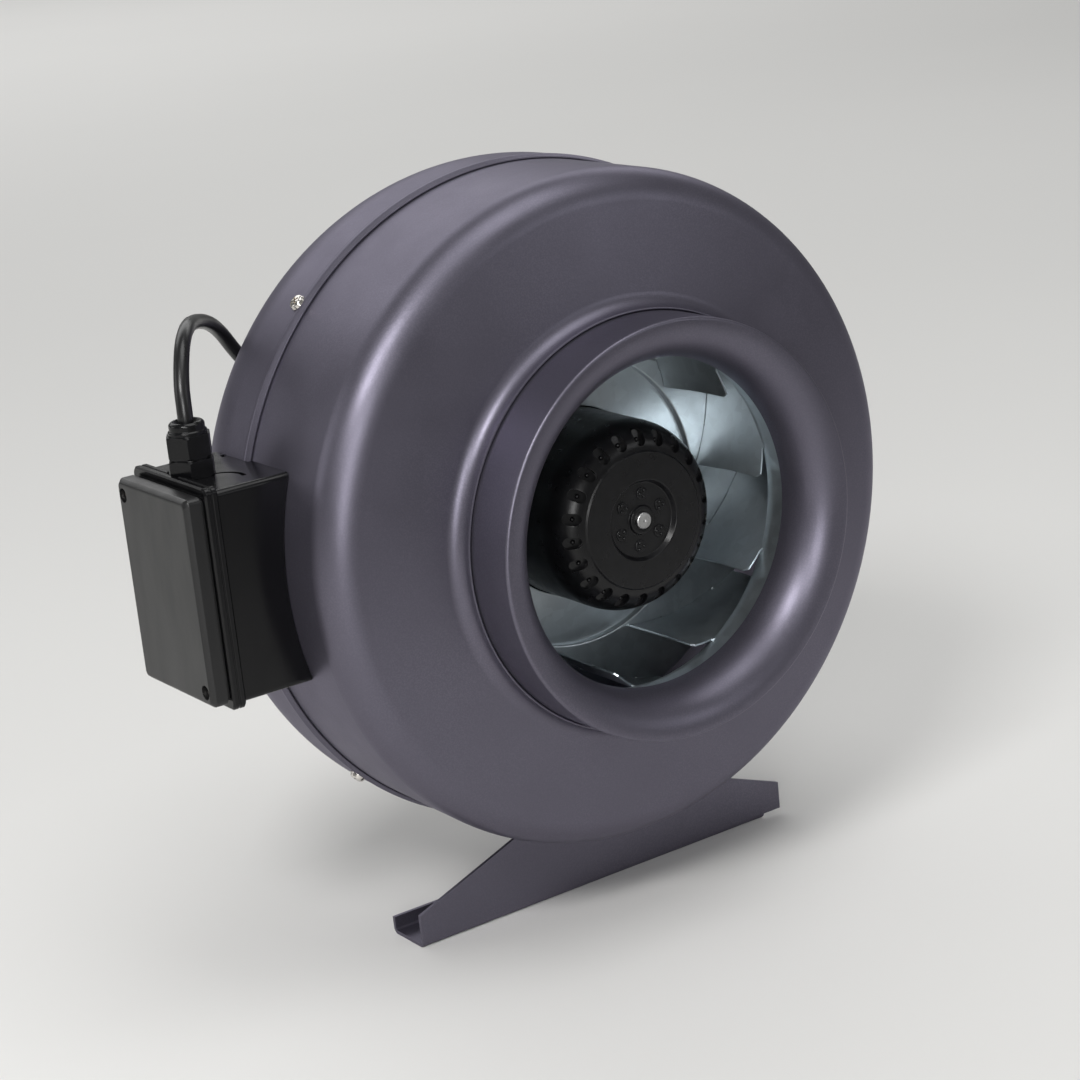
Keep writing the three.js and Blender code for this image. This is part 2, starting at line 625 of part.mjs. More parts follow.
function buildTerminalBox() {
  const drumSeat = join(
    rod(DRUM_R + GAP + 0.1, BOX_FRONT_Y - 10, SEAM_Y - 0.5, CASE_SIDES),
    rod(SKIRT_R + GAP + 0.1, SEAM_Y - 0.6, BOX_REAR_Y + 10, CASE_SIDES));
  const bodyX = BOX_JOINT_X + 6.5;
  const body = roundedBlock(bodyX - 1, -140, 0, 3);
  const rimBand = loft([BOX_JOINT_X, bodyX].map((x) => roundedLoop(x, BOX_FRONT_Y - 1.2, BOX_REAR_Y + 1.2,
    BOX_BOTTOM_Z - 2.4, BOX_TOP_Z + 2.4, 3.5)));
  const shellOnly = roundedBlock(BOX_JOINT_X - 2, -140, BOX_WALL, 2);
  const floor = rod(BOX_FLOOR_R, BOX_FRONT_Y - 10, BOX_REAR_Y + 10, CASE_SIDES);
  const hollow = cut(shellOnly, floor);
  const posts = Object.values(LID_SCREWS).map((yz) => postX(yz, 4, BOX_JOINT_X, -164));
  const outside = cut(join(body, rimBand), drumSeat);
  const clippedPosts = posts.map((post) => cut(common(post, join(body, rimBand)), floor));
  const tub = join(cut(outside, hollow), ...clippedPosts);
  const pilots = Object.values(LID_SCREWS).map((yz) => postX(yz, 1.9, BOX_JOINT_X - 1, BOX_JOINT_X + 14));
  const glandSeat = new THREE.Vector3(GLAND_X, GLAND_Y, BOX_TOP_Z);
  const glandHole = along(rod(8, -12, 12, 16), glandSeat, new THREE.Vector3(0, 0, 1));
  const glandPocket = along(rod(GLAND_HEX / 2 + 2, 0, 12, 16), glandSeat, new THREE.Vector3(0, 0, 1));
  const screwHoles = BOX_SCREW_YS.map((y) => radialHole(180, y, CASE_HOLE_R, DRUM_R - 4, BOX_FLOOR_R + 4));
  add('terminal_box_base', cut(tub, ...pilots, glandHole, glandPocket, ...screwHoles), blackPlastic);

  buildLid();
  buildBoxContents();
}

// The lid: bevelled outer edge, a seat for the gasket, a hollow and two countersunk screws.
function buildLid() {
  const bevel = 2;
  const loop = (x, inset, radius) => roundedLoop(x, BOX_FRONT_Y + inset, BOX_REAR_Y - inset,
    BOX_BOTTOM_Z + 1 + inset, BOX_TOP_Z - 1 - inset, radius);
  const lidBack = BOX_JOINT_X - GAP;
  const outside = loft([loop(BOX_LID_X, bevel, 2), loop(BOX_LID_X + bevel, 0, 3), loop(lidBack, 0, 3)]);
  const seat = loft([loop(lidBack - 1.9, 2, 2), loop(lidBack + 1, 2, 2)]);
  const corner = 14;
  const [y0, y1, z0, z1] = [BOX_FRONT_Y + 5.5, BOX_REAR_Y - 5.5, BOX_BOTTOM_Z + 6.5, BOX_TOP_Z - 6.5];
  const hollowLoop = (x) => [[y1, z1 - corner], [y1 - corner, z1], [y0 + corner, z1], [y0, z1 - corner],
    [y0, z0 + corner], [y0 + corner, z0], [y1 - corner, z0], [y1, z0 + corner]]
    .map(([y, z]) => new THREE.Vector3(x, y, z));
  const hollow = loft([hollowLoop(BOX_LID_X + 2.4), hollowLoop(lidBack)]);
  const wells = Object.values(LID_SCREWS).map((yz) => postX(yz, 3.4, BOX_LID_X - 1, BOX_LID_X + 3.5));
  const holes = Object.values(LID_SCREWS).map((yz) => postX(yz, 2.1, BOX_LID_X, lidBack + 1));
  add('terminal_box_lid', cut(outside, seat, hollow, ...wells, ...holes), blackPlastic);

  Object.entries(LID_SCREWS).forEach(([name, [y, z]]) => {
    addAlong(`lid_screw_${name}`, screw(3, 1.8, 1.6, 17), nickelSteel,
      new THREE.Vector3(BOX_LID_X + 3.2, y, z), new THREE.Vector3(-1, 0, 0));
  });

  const ring = (inset, cornerCut) => {
    const [a, b] = [BOX_FRONT_Y + inset, BOX_REAR_Y - inset];
    const [c, d] = [BOX_BOTTOM_Z + 1 + inset, BOX_TOP_Z - 1 - inset];
    return [[b, d - cornerCut], [b - cornerCut, d], [a + cornerCut, d], [a, d - cornerCut],
      [a, c + cornerCut], [a + cornerCut, c], [b - cornerCut, c], [b, c + cornerCut]];
  };
  const solidRing = (inset, cornerCut, x0, x1) => loft([x0, x1].map((x) =>
    ring(inset, cornerCut).map(([y, z]) => new THREE.Vector3(x, y, z))));
  const gasketX = BOX_JOINT_X - 1.9;
  add('lid_gasket', cut(solidRing(2.4, 13, gasketX, BOX_JOINT_X - GAP),
    solidRing(4.6, 12, gasketX - 1, BOX_JOINT_X + 1)), blackRubber);
}

function buildBoxContents() {
  BOX_SCREW_YS.forEach((y, i) => {
    addAlong(['box_screw_front', 'box_screw_rear'][i], screw(3.8, 2.4, 2, 12), nickelSteel,
      atRadius(180, BOX_FLOOR_R + GAP, y), radial(180));
  });
  const upZ = new THREE.Vector3(0, 0, 1);
  addAlong('run_capacitor', revolve([[0, 0], [11.2, 0], [12, 0.8], [12, 52], [11.2, 53.2], [3.5, 53.2],
    [3.5, 58], [0, 58]], 20), greyPlastic, new THREE.Vector3(-184.2, 98.4, -30), upZ);
  const strip = block(-196, -173, BOX_MID_Y - 5, BOX_MID_Y + 12, -24, 24);
  const wells = [-16, -5.5, 5, 15.5].map((z) => block(-199, -192, BOX_MID_Y, BOX_MID_Y + 7, z - 3, z + 3));
  add('terminal_block', cut(strip, ...wells), greyPlastic);
}

// ---------------------------------------------------------------- gland, grommet and lead

const NUT_BASE_Z = BOX_TOP_Z + 8.8;
const NUT_TOP_Z = BOX_TOP_Z + 25.4;

function buildGland() {
  const at = new THREE.Vector3(GLAND_X, GLAND_Y, 0);
  const up = new THREE.Vector3(0, 0, 1);
  const hexR = GLAND_HEX / Math.sqrt(3);
  const hex = (y0, y1, r) => prismY(regularPolygon(r, 6, Math.PI / 6), y0, y1);
  const base = BOX_TOP_Z + GAP;
  const boreR = CABLE_R + 0.5;
  const thread = rod(7.6, BOX_TOP_Z - 12, base + 1, 20);
  const sleeve = rod(7.1, base + 7, BOX_TOP_Z + 15, 20);
  const bodyBore = rod(boreR, BOX_TOP_Z - 14, BOX_TOP_Z + 22, 16);
  const sealSeat = rod(6.3, BOX_TOP_Z + 9.5, BOX_TOP_Z + 22, 16);
  addAlong('gland_body', cut(join(hex(base, base + 8, hexR), thread, sleeve), bodyBore, sealSeat),
    blackPlastic, at, up);

  const dome = revolve([[0, NUT_BASE_Z + 1], [8.6, NUT_BASE_Z + 1], [8.9, NUT_TOP_Z - 4.5],
    [8.6, NUT_TOP_Z - 2], [7.4, NUT_TOP_Z - 0.5], [5.8, NUT_TOP_Z], [0, NUT_TOP_Z]], 20);
  const nutInside = revolve([[0, NUT_BASE_Z - 1], [7.5, NUT_BASE_Z - 1], [7.5, BOX_TOP_Z + 16],
    [boreR + 0.2, NUT_TOP_Z - 3], [boreR + 0.2, NUT_TOP_Z + 1], [0, NUT_TOP_Z + 1]], 20);
  addAlong('gland_nut', cut(join(hex(NUT_BASE_Z, NUT_TOP_Z - 6, hexR - 0.3), dome), nutInside),
    blackPlastic, at, up);

  const locknut = regularPolygon(hexR - 0.4, 6, Math.PI / 6);
  locknut.holes.push(regularPolygon(8, 16));
  addAlong('gland_locknut', prismY(locknut, BOX_TOP_Z - BOX_WALL - 5, BOX_TOP_Z - BOX_WALL - GAP),
    blackPlastic, at, up);
  addAlong('gland_seal', tube(CABLE_R + 0.5, 6, BOX_TOP_Z + 9.8, BOX_TOP_Z + 15.6, 16), blackRubber, at, up);
}

// A rubber sleeve through the slanted hole, with a tapered boot outside and a collar inside, both
// clipped clear of the dome.
function buildGrommet() {
  const outsideClearance = 0.6;
  const insideClearance = 4.4;
  const reach = 40;
  const toward = (geometry) => along(geometry, leadPoint, leadDirection);
  const nearSide = along(rod(reach, -reach, outsideClearance, 8), leadPoint, leadNormal);
  const farSide = along(rod(reach, -insideClearance, reach, 8), leadPoint, leadNormal);
  const sleeve = toward(rod(LEAD_HOLE_R - 0.5, -12, 13, 16));
  const boot = toward(revolve([[0, -13], [5.4, -13], [8.4, -4], [8.4, 6], [0, 6]], 16));
  const collar = toward(rod(7.2, 4, 13, 16));
  const bore = toward(rod(CABLE_R + 0.9, -reach, reach, 16));
  add('shell_grommet', cut(join(sleeve, cut(boot, nearSide), cut(collar, farSide)), bore), blackRubber);
}

// The motor's lead: from the terminals up through the gland, over in a loop, in through the dome
// and along an arm of the motor support to the stator.
const leadRoute = [
  [GLAND_X, GLAND_Y, 24.4],
  [GLAND_X, GLAND_Y, 45],
  [GLAND_X, GLAND_Y, 66],
  [GLAND_X, GLAND_Y, 81],
  [-182.4, 122.3, 92.3],
  [-175, 132, 106.2],
  [-165.5, 144.5, 111.7],
  [-148, 168.5, 109.5],
  [-133.5, 184.3, 103.9],
  [-123.8, 193.3, 96.7],
  [-113.7, 199, 84.1],
  leadPoint.clone().addScaledVector(leadDirection, -10).toArray(),
  leadPoint.clone().addScaledVector(leadDirection, 2).toArray(),
  leadPoint.clone().addScaledVector(leadDirection, 14).toArray(),
  [-83.5, 186, 48.5],
  [-73, 175, 43],
  [-59, 159, 38],
  [-45.5, 143.5, 32.5],
  [-34, 130, 27],
  [-25.8, 118, 22.7],
  [-21.2, 108, 20.5],
  [WIRE_HOLE.x, 99.4, WIRE_HOLE.z],
].map(([x, y, z]) => new THREE.Vector3(x, y, z));

function buildLead() {
  const curve = new THREE.CatmullRomCurve3(leadRoute, false, 'centripetal');
  const section = regularPolygon(CABLE_R, 8);
  const geometry = new THREE.ExtrudeGeometry(section, { steps: 40, extrudePath: curve, bevelEnabled: false });
  add('motor_lead', geometry, blackRubber);
}

// ---------------------------------------------------------------- everything

buildCase();
buildInletCone();
buildFoot();
buildMotorSupport();
buildStator();
buildBearing('front', FRONT_BEARING_Y);
buildBearing('rear', REAR_BEARING_Y);
buildRotor();
buildImpeller();
buildTerminalBox();
buildGland();
buildGrommet();
buildLead();

export default object;
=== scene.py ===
import json
import math

import bmesh
import bpy
from mathutils import Matrix, Vector


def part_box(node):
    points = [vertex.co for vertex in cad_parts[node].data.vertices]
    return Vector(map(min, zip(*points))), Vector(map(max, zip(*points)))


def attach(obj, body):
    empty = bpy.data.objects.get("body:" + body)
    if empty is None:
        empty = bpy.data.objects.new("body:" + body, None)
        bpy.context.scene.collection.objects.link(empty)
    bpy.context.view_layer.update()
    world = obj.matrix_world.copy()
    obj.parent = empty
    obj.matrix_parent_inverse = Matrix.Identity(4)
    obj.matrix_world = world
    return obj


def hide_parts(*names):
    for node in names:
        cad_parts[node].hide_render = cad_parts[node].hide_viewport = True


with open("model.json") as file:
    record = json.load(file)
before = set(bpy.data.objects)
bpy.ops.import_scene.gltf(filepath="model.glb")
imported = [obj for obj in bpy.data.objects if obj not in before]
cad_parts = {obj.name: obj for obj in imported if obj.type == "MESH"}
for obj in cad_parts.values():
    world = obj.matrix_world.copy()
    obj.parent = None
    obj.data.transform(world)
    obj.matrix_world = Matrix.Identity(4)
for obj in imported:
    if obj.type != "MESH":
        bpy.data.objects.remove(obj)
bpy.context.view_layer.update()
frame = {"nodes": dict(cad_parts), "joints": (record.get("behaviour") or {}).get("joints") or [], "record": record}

# Everything is made in the fan's own frame, in millimetres: x to the right, z up from the fan's
# axis, and y the station along the axis, 0 at the inlet rim. place() puts it in the shared frame.
MM = 0.001
JOINTS = {joint["name"]: joint for joint in frame["joints"]}
AXIS_Z = JOINTS["rotor_spin"]["pos_m"][2]
RIM_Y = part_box("inlet_cone")[0].y
CASE_SIDES = 36                # facets of the CAD case, whose boxes are measured across the flats


def place(point):
    return Vector((point[0] * MM, RIM_Y + point[1] * MM, AXIS_Z + point[2] * MM))


def station(metres):
    return (metres - RIM_Y) / MM


def round_radius(node):
    low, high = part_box(node)
    return (high.x - low.x) / 2 / math.cos(math.pi / CASE_SIDES) / MM


def height(metres):
    return (metres - AXIS_Z) / MM


SPIGOT_R = round_radius("inlet_cone")
DRUM_R = round_radius("inlet_shell")
SKIRT_R = round_radius("outlet_shell")
IMPELLER_R = round_radius("impeller_shroud")
LENGTH = station(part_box("outlet_shell")[1].y)
SEAM_Y = station(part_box("outlet_shell")[0].y)
NECK_Y = station(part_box("inlet_shell")[0].y)
SHELL_END_Y = station(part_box("inlet_shell")[1].y)
SHEET = 1.2
THIN_SHEET = 1.0


def add_object(name, data):
    item = bpy.data.objects.new(name, data)
    bpy.context.scene.collection.objects.link(item)
    return item


# ---- camera

CAMERA_PLACE = Vector((-0.6893, -1.0271, 0.5374))
CAMERA_YAW = math.radians(33.39)
CAMERA_PITCH = math.radians(-16.22)
CAMERA_ROLL = math.radians(-5.93)
CAMERA_LENS = 87.3


def make_camera():
    data = bpy.data.cameras.new("camera")
    data.lens = CAMERA_LENS
    data.sensor_width = 36
    camera = add_object("camera", data)
    yaw, pitch = CAMERA_YAW, CAMERA_PITCH
    forward = Vector((math.sin(yaw) * math.cos(pitch), math.cos(yaw) * math.cos(pitch), math.sin(pitch)))
    level_right = Vector((math.cos(yaw), -math.sin(yaw), 0))
    level_up = level_right.cross(forward)
    right = level_right * math.cos(CAMERA_ROLL) + level_up * math.sin(CAMERA_ROLL)
    up = level_up * math.cos(CAMERA_ROLL) - level_right * math.sin(CAMERA_ROLL)
    turn = Matrix((right, up, -forward)).transposed().to_4x4()
    camera.matrix_world = Matrix.Translation(CAMERA_PLACE) @ turn
    bpy.context.scene.camera = camera


make_camera()


# ---- materials

MIX_COLOUR_INPUT = 6           # the colour sockets of a Mix node, among those for other kinds
MIX_COLOUR_OUTPUT = 2


class Nodes:
    """A short way to build a node tree: each call adds a node and returns it."""

    def __init__(self, name):
        self.material = bpy.data.materials.new(name)
        self.material.use_nodes = True
        self.tree = self.material.node_tree
        self.surface = self.tree.nodes["Principled BSDF"]
        self.place = self.add("ShaderNodeTexCoord").outputs["Object"]

    def add(self, kind, settings=None, **inputs):
        node = self.tree.nodes.new(kind)
        for key, value in (settings or {}).items():
            setattr(node, key, value)
        for key, value in inputs.items():
            self.set(node, key.replace("_", " "), value)
        return node

    def set(self, node, key, value):
        socket = node.inputs[key]
        if isinstance(value, bpy.types.NodeSocket):
            self.tree.links.new(value, socket)
        else:
            socket.default_value = value

    def noise(self, size, detail=3.0, stretch=(1, 1, 1)):
        """Noise with features about size millimetres across, 0 to 1."""
        mapping = self.add("ShaderNodeMapping", Vector=self.place, Scale=stretch)
        node = self.add("ShaderNodeTexNoise", Vector=mapping.outputs[0], Scale=1 / (size * MM),
                        Detail=detail)
        return node.outputs["Fac"]

    def span(self, value, low, high, from_low=0.3, from_high=0.7):
        """value, stretched from one range to another."""
        node = self.add("ShaderNodeMapRange", Value=value, From_Min=from_low, From_Max=from_high,
                        To_Min=low, To_Max=high)
        return node.outputs[0]

    def pair(self, node, first, second, at=0):
        """Sets two inputs that are next to each other."""
        self.set(node, at, first)
        self.set(node, at + 1, second)
        return node.outputs

    def mix(self, factor, first, second):
        node = self.add("ShaderNodeMix", {"data_type": "RGBA"}, Factor=factor)
        return self.pair(node, first, second, MIX_COLOUR_INPUT)[MIX_COLOUR_OUTPUT]

    def math(self, operation, first, second):
        return self.pair(self.add("ShaderNodeMath", {"operation": operation}), first, second)[0]

    def dot(self, first, second):
        node = self.add("ShaderNodeVectorMath", {"operation": "DOT_PRODUCT"})
        return self.pair(node, first, second)["Value"]

    def bump(self, height, depth, normal=None):
        """A bump depth millimetres high."""
        node = self.add("ShaderNodeBump", Height=height, Distance=depth * MM, Strength=1.0)
        if normal is not None:
            self.set(node, "Normal", normal)
        return node.outputs[0]

    def edges(self, radius):
        """1 on edges and corners, 0 on flat ground."""
        bevel = self.add("ShaderNodeBevel", {"samples": 4}, Radius=radius * MM)
        flat = self.add("ShaderNodeNewGeometry").outputs["Normal"]
        return self.span(self.dot(bevel.outputs[0], flat), 1.0, 0.0, 0.75, 0.98)

    def finish(self, colour, roughness, metallic, normal=None, **extra):
        inputs = {"Base_Color": colour, "Roughness": roughness, "Metallic": metallic}
        if normal is not None:
            inputs["Normal"] = normal
        for key, value in {**inputs, **extra}.items():
            self.set(self.surface, key.replace("_", " "), value)
        return self.material


def tone(red, green, blue):
    return (red, green, blue, 1)


def shade(colour, factor):
    return (colour[0] * factor, colour[1] * factor, colour[2] * factor, 1)


def powder_coat():
    nodes = Nodes("powder_coat")
    base = tone(0.14, 0.132, 0.168)
    patches = nodes.span(nodes.noise(60, 2), 0, 1)
    colour = nodes.mix(patches, shade(base, 0.94), shade(base, 1.06))
    speck = nodes.span(nodes.noise(0.7, 1), 0, 1, 0.45, 0.62)
    colour = nodes.mix(speck, shade(base, 0.9), colour)
    worn = nodes.math("MULTIPLY", nodes.edges(0.9), nodes.span(nodes.noise(5, 4), 0.1, 0.5))
    colour = nodes.mix(worn, colour, tone(0.2, 0.19, 0.23))
    roughness = nodes.span(nodes.noise(25, 4), 0.38, 0.45)
    peel = nodes.bump(nodes.noise(2.2, 2), 0.035)
    grain = nodes.bump(nodes.noise(0.8, 1), 0.02, normal=peel)
    return nodes.finish(colour, roughness, 0.82, grain, Specular_Tint=tone(0.78, 0.76, 0.84))


def galvanised():
    nodes = Nodes("galvanised_steel")
    cells = nodes.add("ShaderNodeTexVoronoi", Vector=nodes.place, Scale=1 / (5 * MM))
    spangle = nodes.add("ShaderNodeSeparateColor", Color=cells.outputs["Color"]).outputs[0]
    base = tone(0.52, 0.57, 0.6)
    colour = nodes.mix(spangle, shade(base, 0.93), shade(base, 1.05))
    dull = nodes.span(nodes.noise(14, 5), 0, 1)
    colour = nodes.mix(nodes.math("MULTIPLY", dull, 0.25), colour, tone(0.36, 0.4, 0.42))
    roughness = nodes.math("ADD", nodes.span(nodes.noise(9, 4), 0.29, 0.37),
                           nodes.math("MULTIPLY", spangle, 0.05))
    rolled = nodes.bump(nodes.noise(1.6, 1, (1, 0.06, 1)), 0.003)
    waves = nodes.bump(nodes.noise(18, 1), 0.1, normal=rolled)
    return nodes.finish(colour, roughness, 0.95, waves)


def moulded(name, base, low, high, grain, depth, worn=0.3, shine=0.5):
    """Moulded plastic: slight mottle, spark-eroded grain, lighter rubbed edges."""
    nodes = Nodes(name)
    mottle = nodes.span(nodes.noise(20, 4), 0, 1)
    colour = nodes.mix(mottle, shade(base, 0.88), shade(base, 1.12))
    rubbed = nodes.math("MULTIPLY", nodes.edges(0.7), nodes.span(nodes.noise(4, 4), 0, worn))
    colour = nodes.mix(rubbed, colour, tone(base[0] + 0.05, base[1] + 0.05, base[2] + 0.054))
    smears = nodes.noise(11, 5, (1, 1, 0.3))
    roughness = nodes.span(smears, low, high)
    texture = nodes.bump(nodes.noise(grain, 2), depth)
    return nodes.finish(colour, roughness, 0.0, texture, Specular_IOR_Level=shine)


def black_enamel():
    nodes = Nodes("black_enamel")
    base = tone(0.003, 0.003, 0.0035)
    colour = nodes.mix(nodes.span(nodes.noise(6, 4), 0, 1), base, shade(base, 1.8))
    worn = nodes.math("MULTIPLY", nodes.edges(0.5), nodes.span(nodes.noise(3, 3), 0, 0.35))
    colour = nodes.mix(worn, colour, tone(0.04, 0.04, 0.043))
    roughness = nodes.span(nodes.noise(5, 4), 0.26, 0.36)
    cast = nodes.bump(nodes.noise(0.9, 3), 0.03)
    return nodes.finish(colour, roughness, 0.0, cast, Specular_IOR_Level=0.32)


def bare_metal(name, base, low, high, grain_size, depth, grain=(1, 1, 1)):
    """Bare metal with a machined or cast grain and dull patches."""
    nodes = Nodes(name)
    colour = nodes.mix(nodes.span(nodes.noise(6, 4), 0, 1), shade(base, 0.86), shade(base, 1.08))
    roughness = nodes.span(nodes.noise(3, 4), low, high)
    texture = nodes.bump(nodes.noise(grain_size, 3, grain), depth)
    return nodes.finish(colour, roughness, 1.0, texture)


def striped(name, first, second, size, low, high, metallic):
    """Fine layers or turns across the fan's axis, such as laminations or wound wire."""
    nodes = Nodes(name)
    wave = nodes.add("ShaderNodeTexWave", {"bands_direction": "Y"}, Vector=nodes.place,
                     Scale=0.31 / (size * MM), Distortion=0.6)
    colour = nodes.mix(wave.outputs["Fac"], first, second)
    dirt = nodes.math("MULTIPLY", nodes.span(nodes.noise(7, 4), 0, 1), 0.3)
    colour = nodes.mix(dirt, colour, shade(first, 0.5))
    texture = nodes.bump(wave.outputs["Fac"], 0.08)
    return nodes.finish(colour, nodes.span(nodes.noise(4, 3), low, high), metallic, texture)


MATERIALS = {
    "powder_coat": powder_coat(),
    "galvanised_steel": galvanised(),
    "black_plastic": moulded("black_plastic", tone(0.0035, 0.0035, 0.004), 0.16, 0.26, 0.8, 0.004,
                             shine=0.28),
    "lid_plastic": moulded("lid_plastic", tone(0.006, 0.006, 0.0065), 0.3, 0.4, 0.45, 0.012),
    "black_enamel": black_enamel(),
    "nickel_steel": bare_metal("nickel_steel", tone(0.72, 0.69, 0.65), 0.14, 0.26, 0.6, 0.004),
    "cast_aluminium": bare_metal("cast_aluminium", tone(0.5, 0.51, 0.53), 0.42, 0.58, 0.8, 0.05),
    "laminations": striped("laminations", tone(0.1, 0.105, 0.11), tone(0.28, 0.28, 0.29),
                           0.5, 0.35, 0.5, 0.9),
    "copper_wire": striped("copper_wire", tone(0.3, 0.09, 0.03), tone(0.6, 0.24, 0.1),
                           0.7, 0.25, 0.4, 0.8),
    "ground_steel": bare_metal("ground_steel", tone(0.5, 0.5, 0.5), 0.34, 0.46, 0.8, 0.003, (1, 8, 1)),
    "black_rubber": moulded("black_rubber", tone(0.006, 0.006, 0.0065), 0.26, 0.36, 0.5, 0.008,
                            worn=0.15),
    "grey_plastic": moulded("grey_plastic", tone(0.56, 0.55, 0.5), 0.35, 0.5, 0.6, 0.012),
}


# ---- meshes

SMOOTH_ANGLE = math.radians(32)
SAME_PLACE = 2e-6              # metres: points nearer than this are one
TOO_SMALL = 1e-6


def mesh_object(name, vertices, faces, flat=False):
    """A piece from fan-frame points, with outward faces and sharp edges only at real corners."""
    mesh = bpy.data.meshes.new(name)
    mesh.from_pydata([place(v) for v in vertices], [], faces)
    piece = add_object(name, mesh)
    tidy(piece, flat)
    return piece


def tidy(piece, flat=False):
    """Closes up a mesh, turns its faces outward and marks its real corners sharp."""
    work = bmesh.new()
    work.from_mesh(piece.data)
    bmesh.ops.remove_doubles(work, verts=work.verts, dist=SAME_PLACE)
    bmesh.ops.dissolve_degenerate(work, edges=work.edges, dist=TOO_SMALL)
    bmesh.ops.recalc_face_normals(work, faces=work.faces)
    for face in work.faces:
        face.smooth = not flat
    for edge in work.edges:
        edge.smooth = len(edge.link_faces) == 2 and edge.calc_face_angle(0) < SMOOTH_ANGLE
    work.to_mesh(piece.data)
    work.free()


def dress(piece, body, material, *replaced):
    """Gives a finished piece its body and its material in a slot, and hides the CAD nodes it stands for."""
    if piece.type == "MESH":
        weigh = piece.modifiers.new("weigh", "WEIGHTED_NORMAL")
        weigh.keep_sharp = True
        bake(piece, keep_normals=True)
    piece.data.materials.clear()
    piece.data.materials.append(MATERIALS[material])
    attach(piece, body)
    if replaced:
        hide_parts(*replaced)
    return piece


def bake(piece, keep_normals=False):
    """Applies a piece's modifiers."""
    graph = bpy.context.evaluated_depsgraph_get()
    mesh = bpy.data.meshes.new_from_object(piece.evaluated_get(graph))
    piece.modifiers.clear()
    piece.data = mesh
    if not keep_normals:
        tidy(piece)


def cut(piece, *cutters, operation="DIFFERENCE"):
    for cutter in cutters:
        step = piece.modifiers.new("cut", "BOOLEAN")
        step.operation = operation
        step.solver = "EXACT"
        step.object = cutter
    bake(piece)
    for cutter in cutters:
        bpy.data.objects.remove(cutter)
    return piece


def thicken(piece, thickness):
    """Makes a surface a sheet, with half the thickness each side."""
    solid = piece.modifiers.new("thickness", "SOLIDIFY")
    solid.thickness = thickness * MM
    solid.offset = 0
    bake(piece)


def soften(piece, width, segments=2, angle=50):
    """Rounds a piece's sharp edges."""
    bevel = piece.modifiers.new("bevel", "BEVEL")
    bevel.width = width * MM
    bevel.segments = segments
    bevel.limit_method = "ANGLE"
    bevel.angle_limit = math.radians(angle)
    bake(piece)
    return piece


def join(name, *pieces):
    """Several meshes as one piece."""
    work = bmesh.new()
    for part in pieces:
        work.from_mesh(part.data)
        bpy.data.objects.remove(part)
    mesh = bpy.data.meshes.new(name)
    work.to_mesh(mesh)
    work.free()
    return add_object(name, mesh)


def polar(angle, radius, y):
    """A fan-frame point, from an angle in degrees with 0 to the right and 90 up."""
    return (radius * math.cos(math.radians(angle)), y, radius * math.sin(math.radians(angle)))


def arc(centre, radius, start, end, steps=12):
    turns = [math.radians(start + (end - start) * i / steps) for i in range(steps + 1)]
    return [(centre[0] + radius * math.cos(t), centre[1] + radius * math.sin(t)) for t in turns]


def rounded(corners, steps=5):
    """A line through (a, b) corners. A third number is the radius that rounds a corner."""
    line = []
    for i, corner in enumerate(corners):
        radius = corner[2] if len(corner) > 2 else 0
        here = Vector(corner[:2])
        if radius == 0 or i in (0, len(corners) - 1):
            line.append(tuple(here))
            continue
        back = (Vector(corners[i - 1][:2]) - here).normalized()
        ahead = (Vector(corners[i + 1][:2]) - here).normalized()
        half = back.angle(ahead) / 2
        centre = here + (back + ahead).normalized() * radius / math.sin(half)
        start = here + back * radius / math.tan(half) - centre
        end = here + ahead * radius / math.tan(half) - centre
        sweep = start.angle_signed(end)
        for step in range(steps + 1):
            turn = -sweep * step / steps
            x = start.x * math.cos(turn) - start.y * math.sin(turn)
            y = start.x * math.sin(turn) + start.y * math.cos(turn)
            line.append((centre.x + x, centre.y + y))
    return line


def closed_round(corners):
    """A closed outline with rounded corners."""
    return rounded([corners[-1], *corners, corners[0]], 4)[1:-1]


def sheet_outline(line, thickness):
    """The outline of a sheet bent along a line: half the thickness each side, with round ends."""
    points = [Vector(p) for p in line]
    near, far = [], []
    for i, point in enumerate(points):
        before = (point - points[i - 1]).normalized() if i else None
        after = (points[i + 1] - point).normalized() if i < len(points) - 1 else None
        along = ((before or after) + (after or before)).normalized()
        normal = Vector((-along.y, along.x))
        stretch = 1 if before is None or after is None else 1 / max(0.5, along.dot(after))
        near.append(point + normal * thickness / 2 * stretch)
        far.append(point - normal * thickness / 2 * stretch)
    outline = [tuple(p) for p in near]
    outline += end_cap(points[-1], near[-1] - points[-1])
    outline += [tuple(p) for p in reversed(far)]
    outline += end_cap(points[0], far[0] - points[0])
    return outline


def end_cap(centre, arm):
    """The points round a sheet's end, from one side to the other."""
    steps = 4
    turns = [-math.pi * i / steps for i in range(1, steps)]
    return [(centre.x + arm.x * math.cos(t) - arm.y * math.sin(t),
             centre.y + arm.x * math.sin(t) + arm.y * math.cos(t)) for t in turns]


def lathe(name, outline, segments=192, open_line=False):
    """A closed (radius, y) outline, or an open one that starts and ends on the axis, turned round y."""
    faces = []
    count = len(outline)
    vertices = [polar(360 * i / segments, r, y) for i in range(segments) for r, y in outline]
    spans = count - 1 if open_line else count
    for i in range(segments):
        for j in range(spans):
            a, b = i * count + j, i * count + (j + 1) % count
            c = ((i + 1) % segments) * count
            faces.append((a, b, c + (j + 1) % count, c + j))
    return mesh_object(name, vertices, faces)


def solid_of_turning(name, line, segments):
    """A (radius, y) line from axis to axis, turned round y."""
    return lathe(name, line, segments, open_line=True)


def rod(name, radius, start, end, segments=32):
    """A plain round bar along y, for posts and for cutters."""
    return solid_of_turning(name, [(0, start), (radius, start), (radius, end), (0, end)], segments)


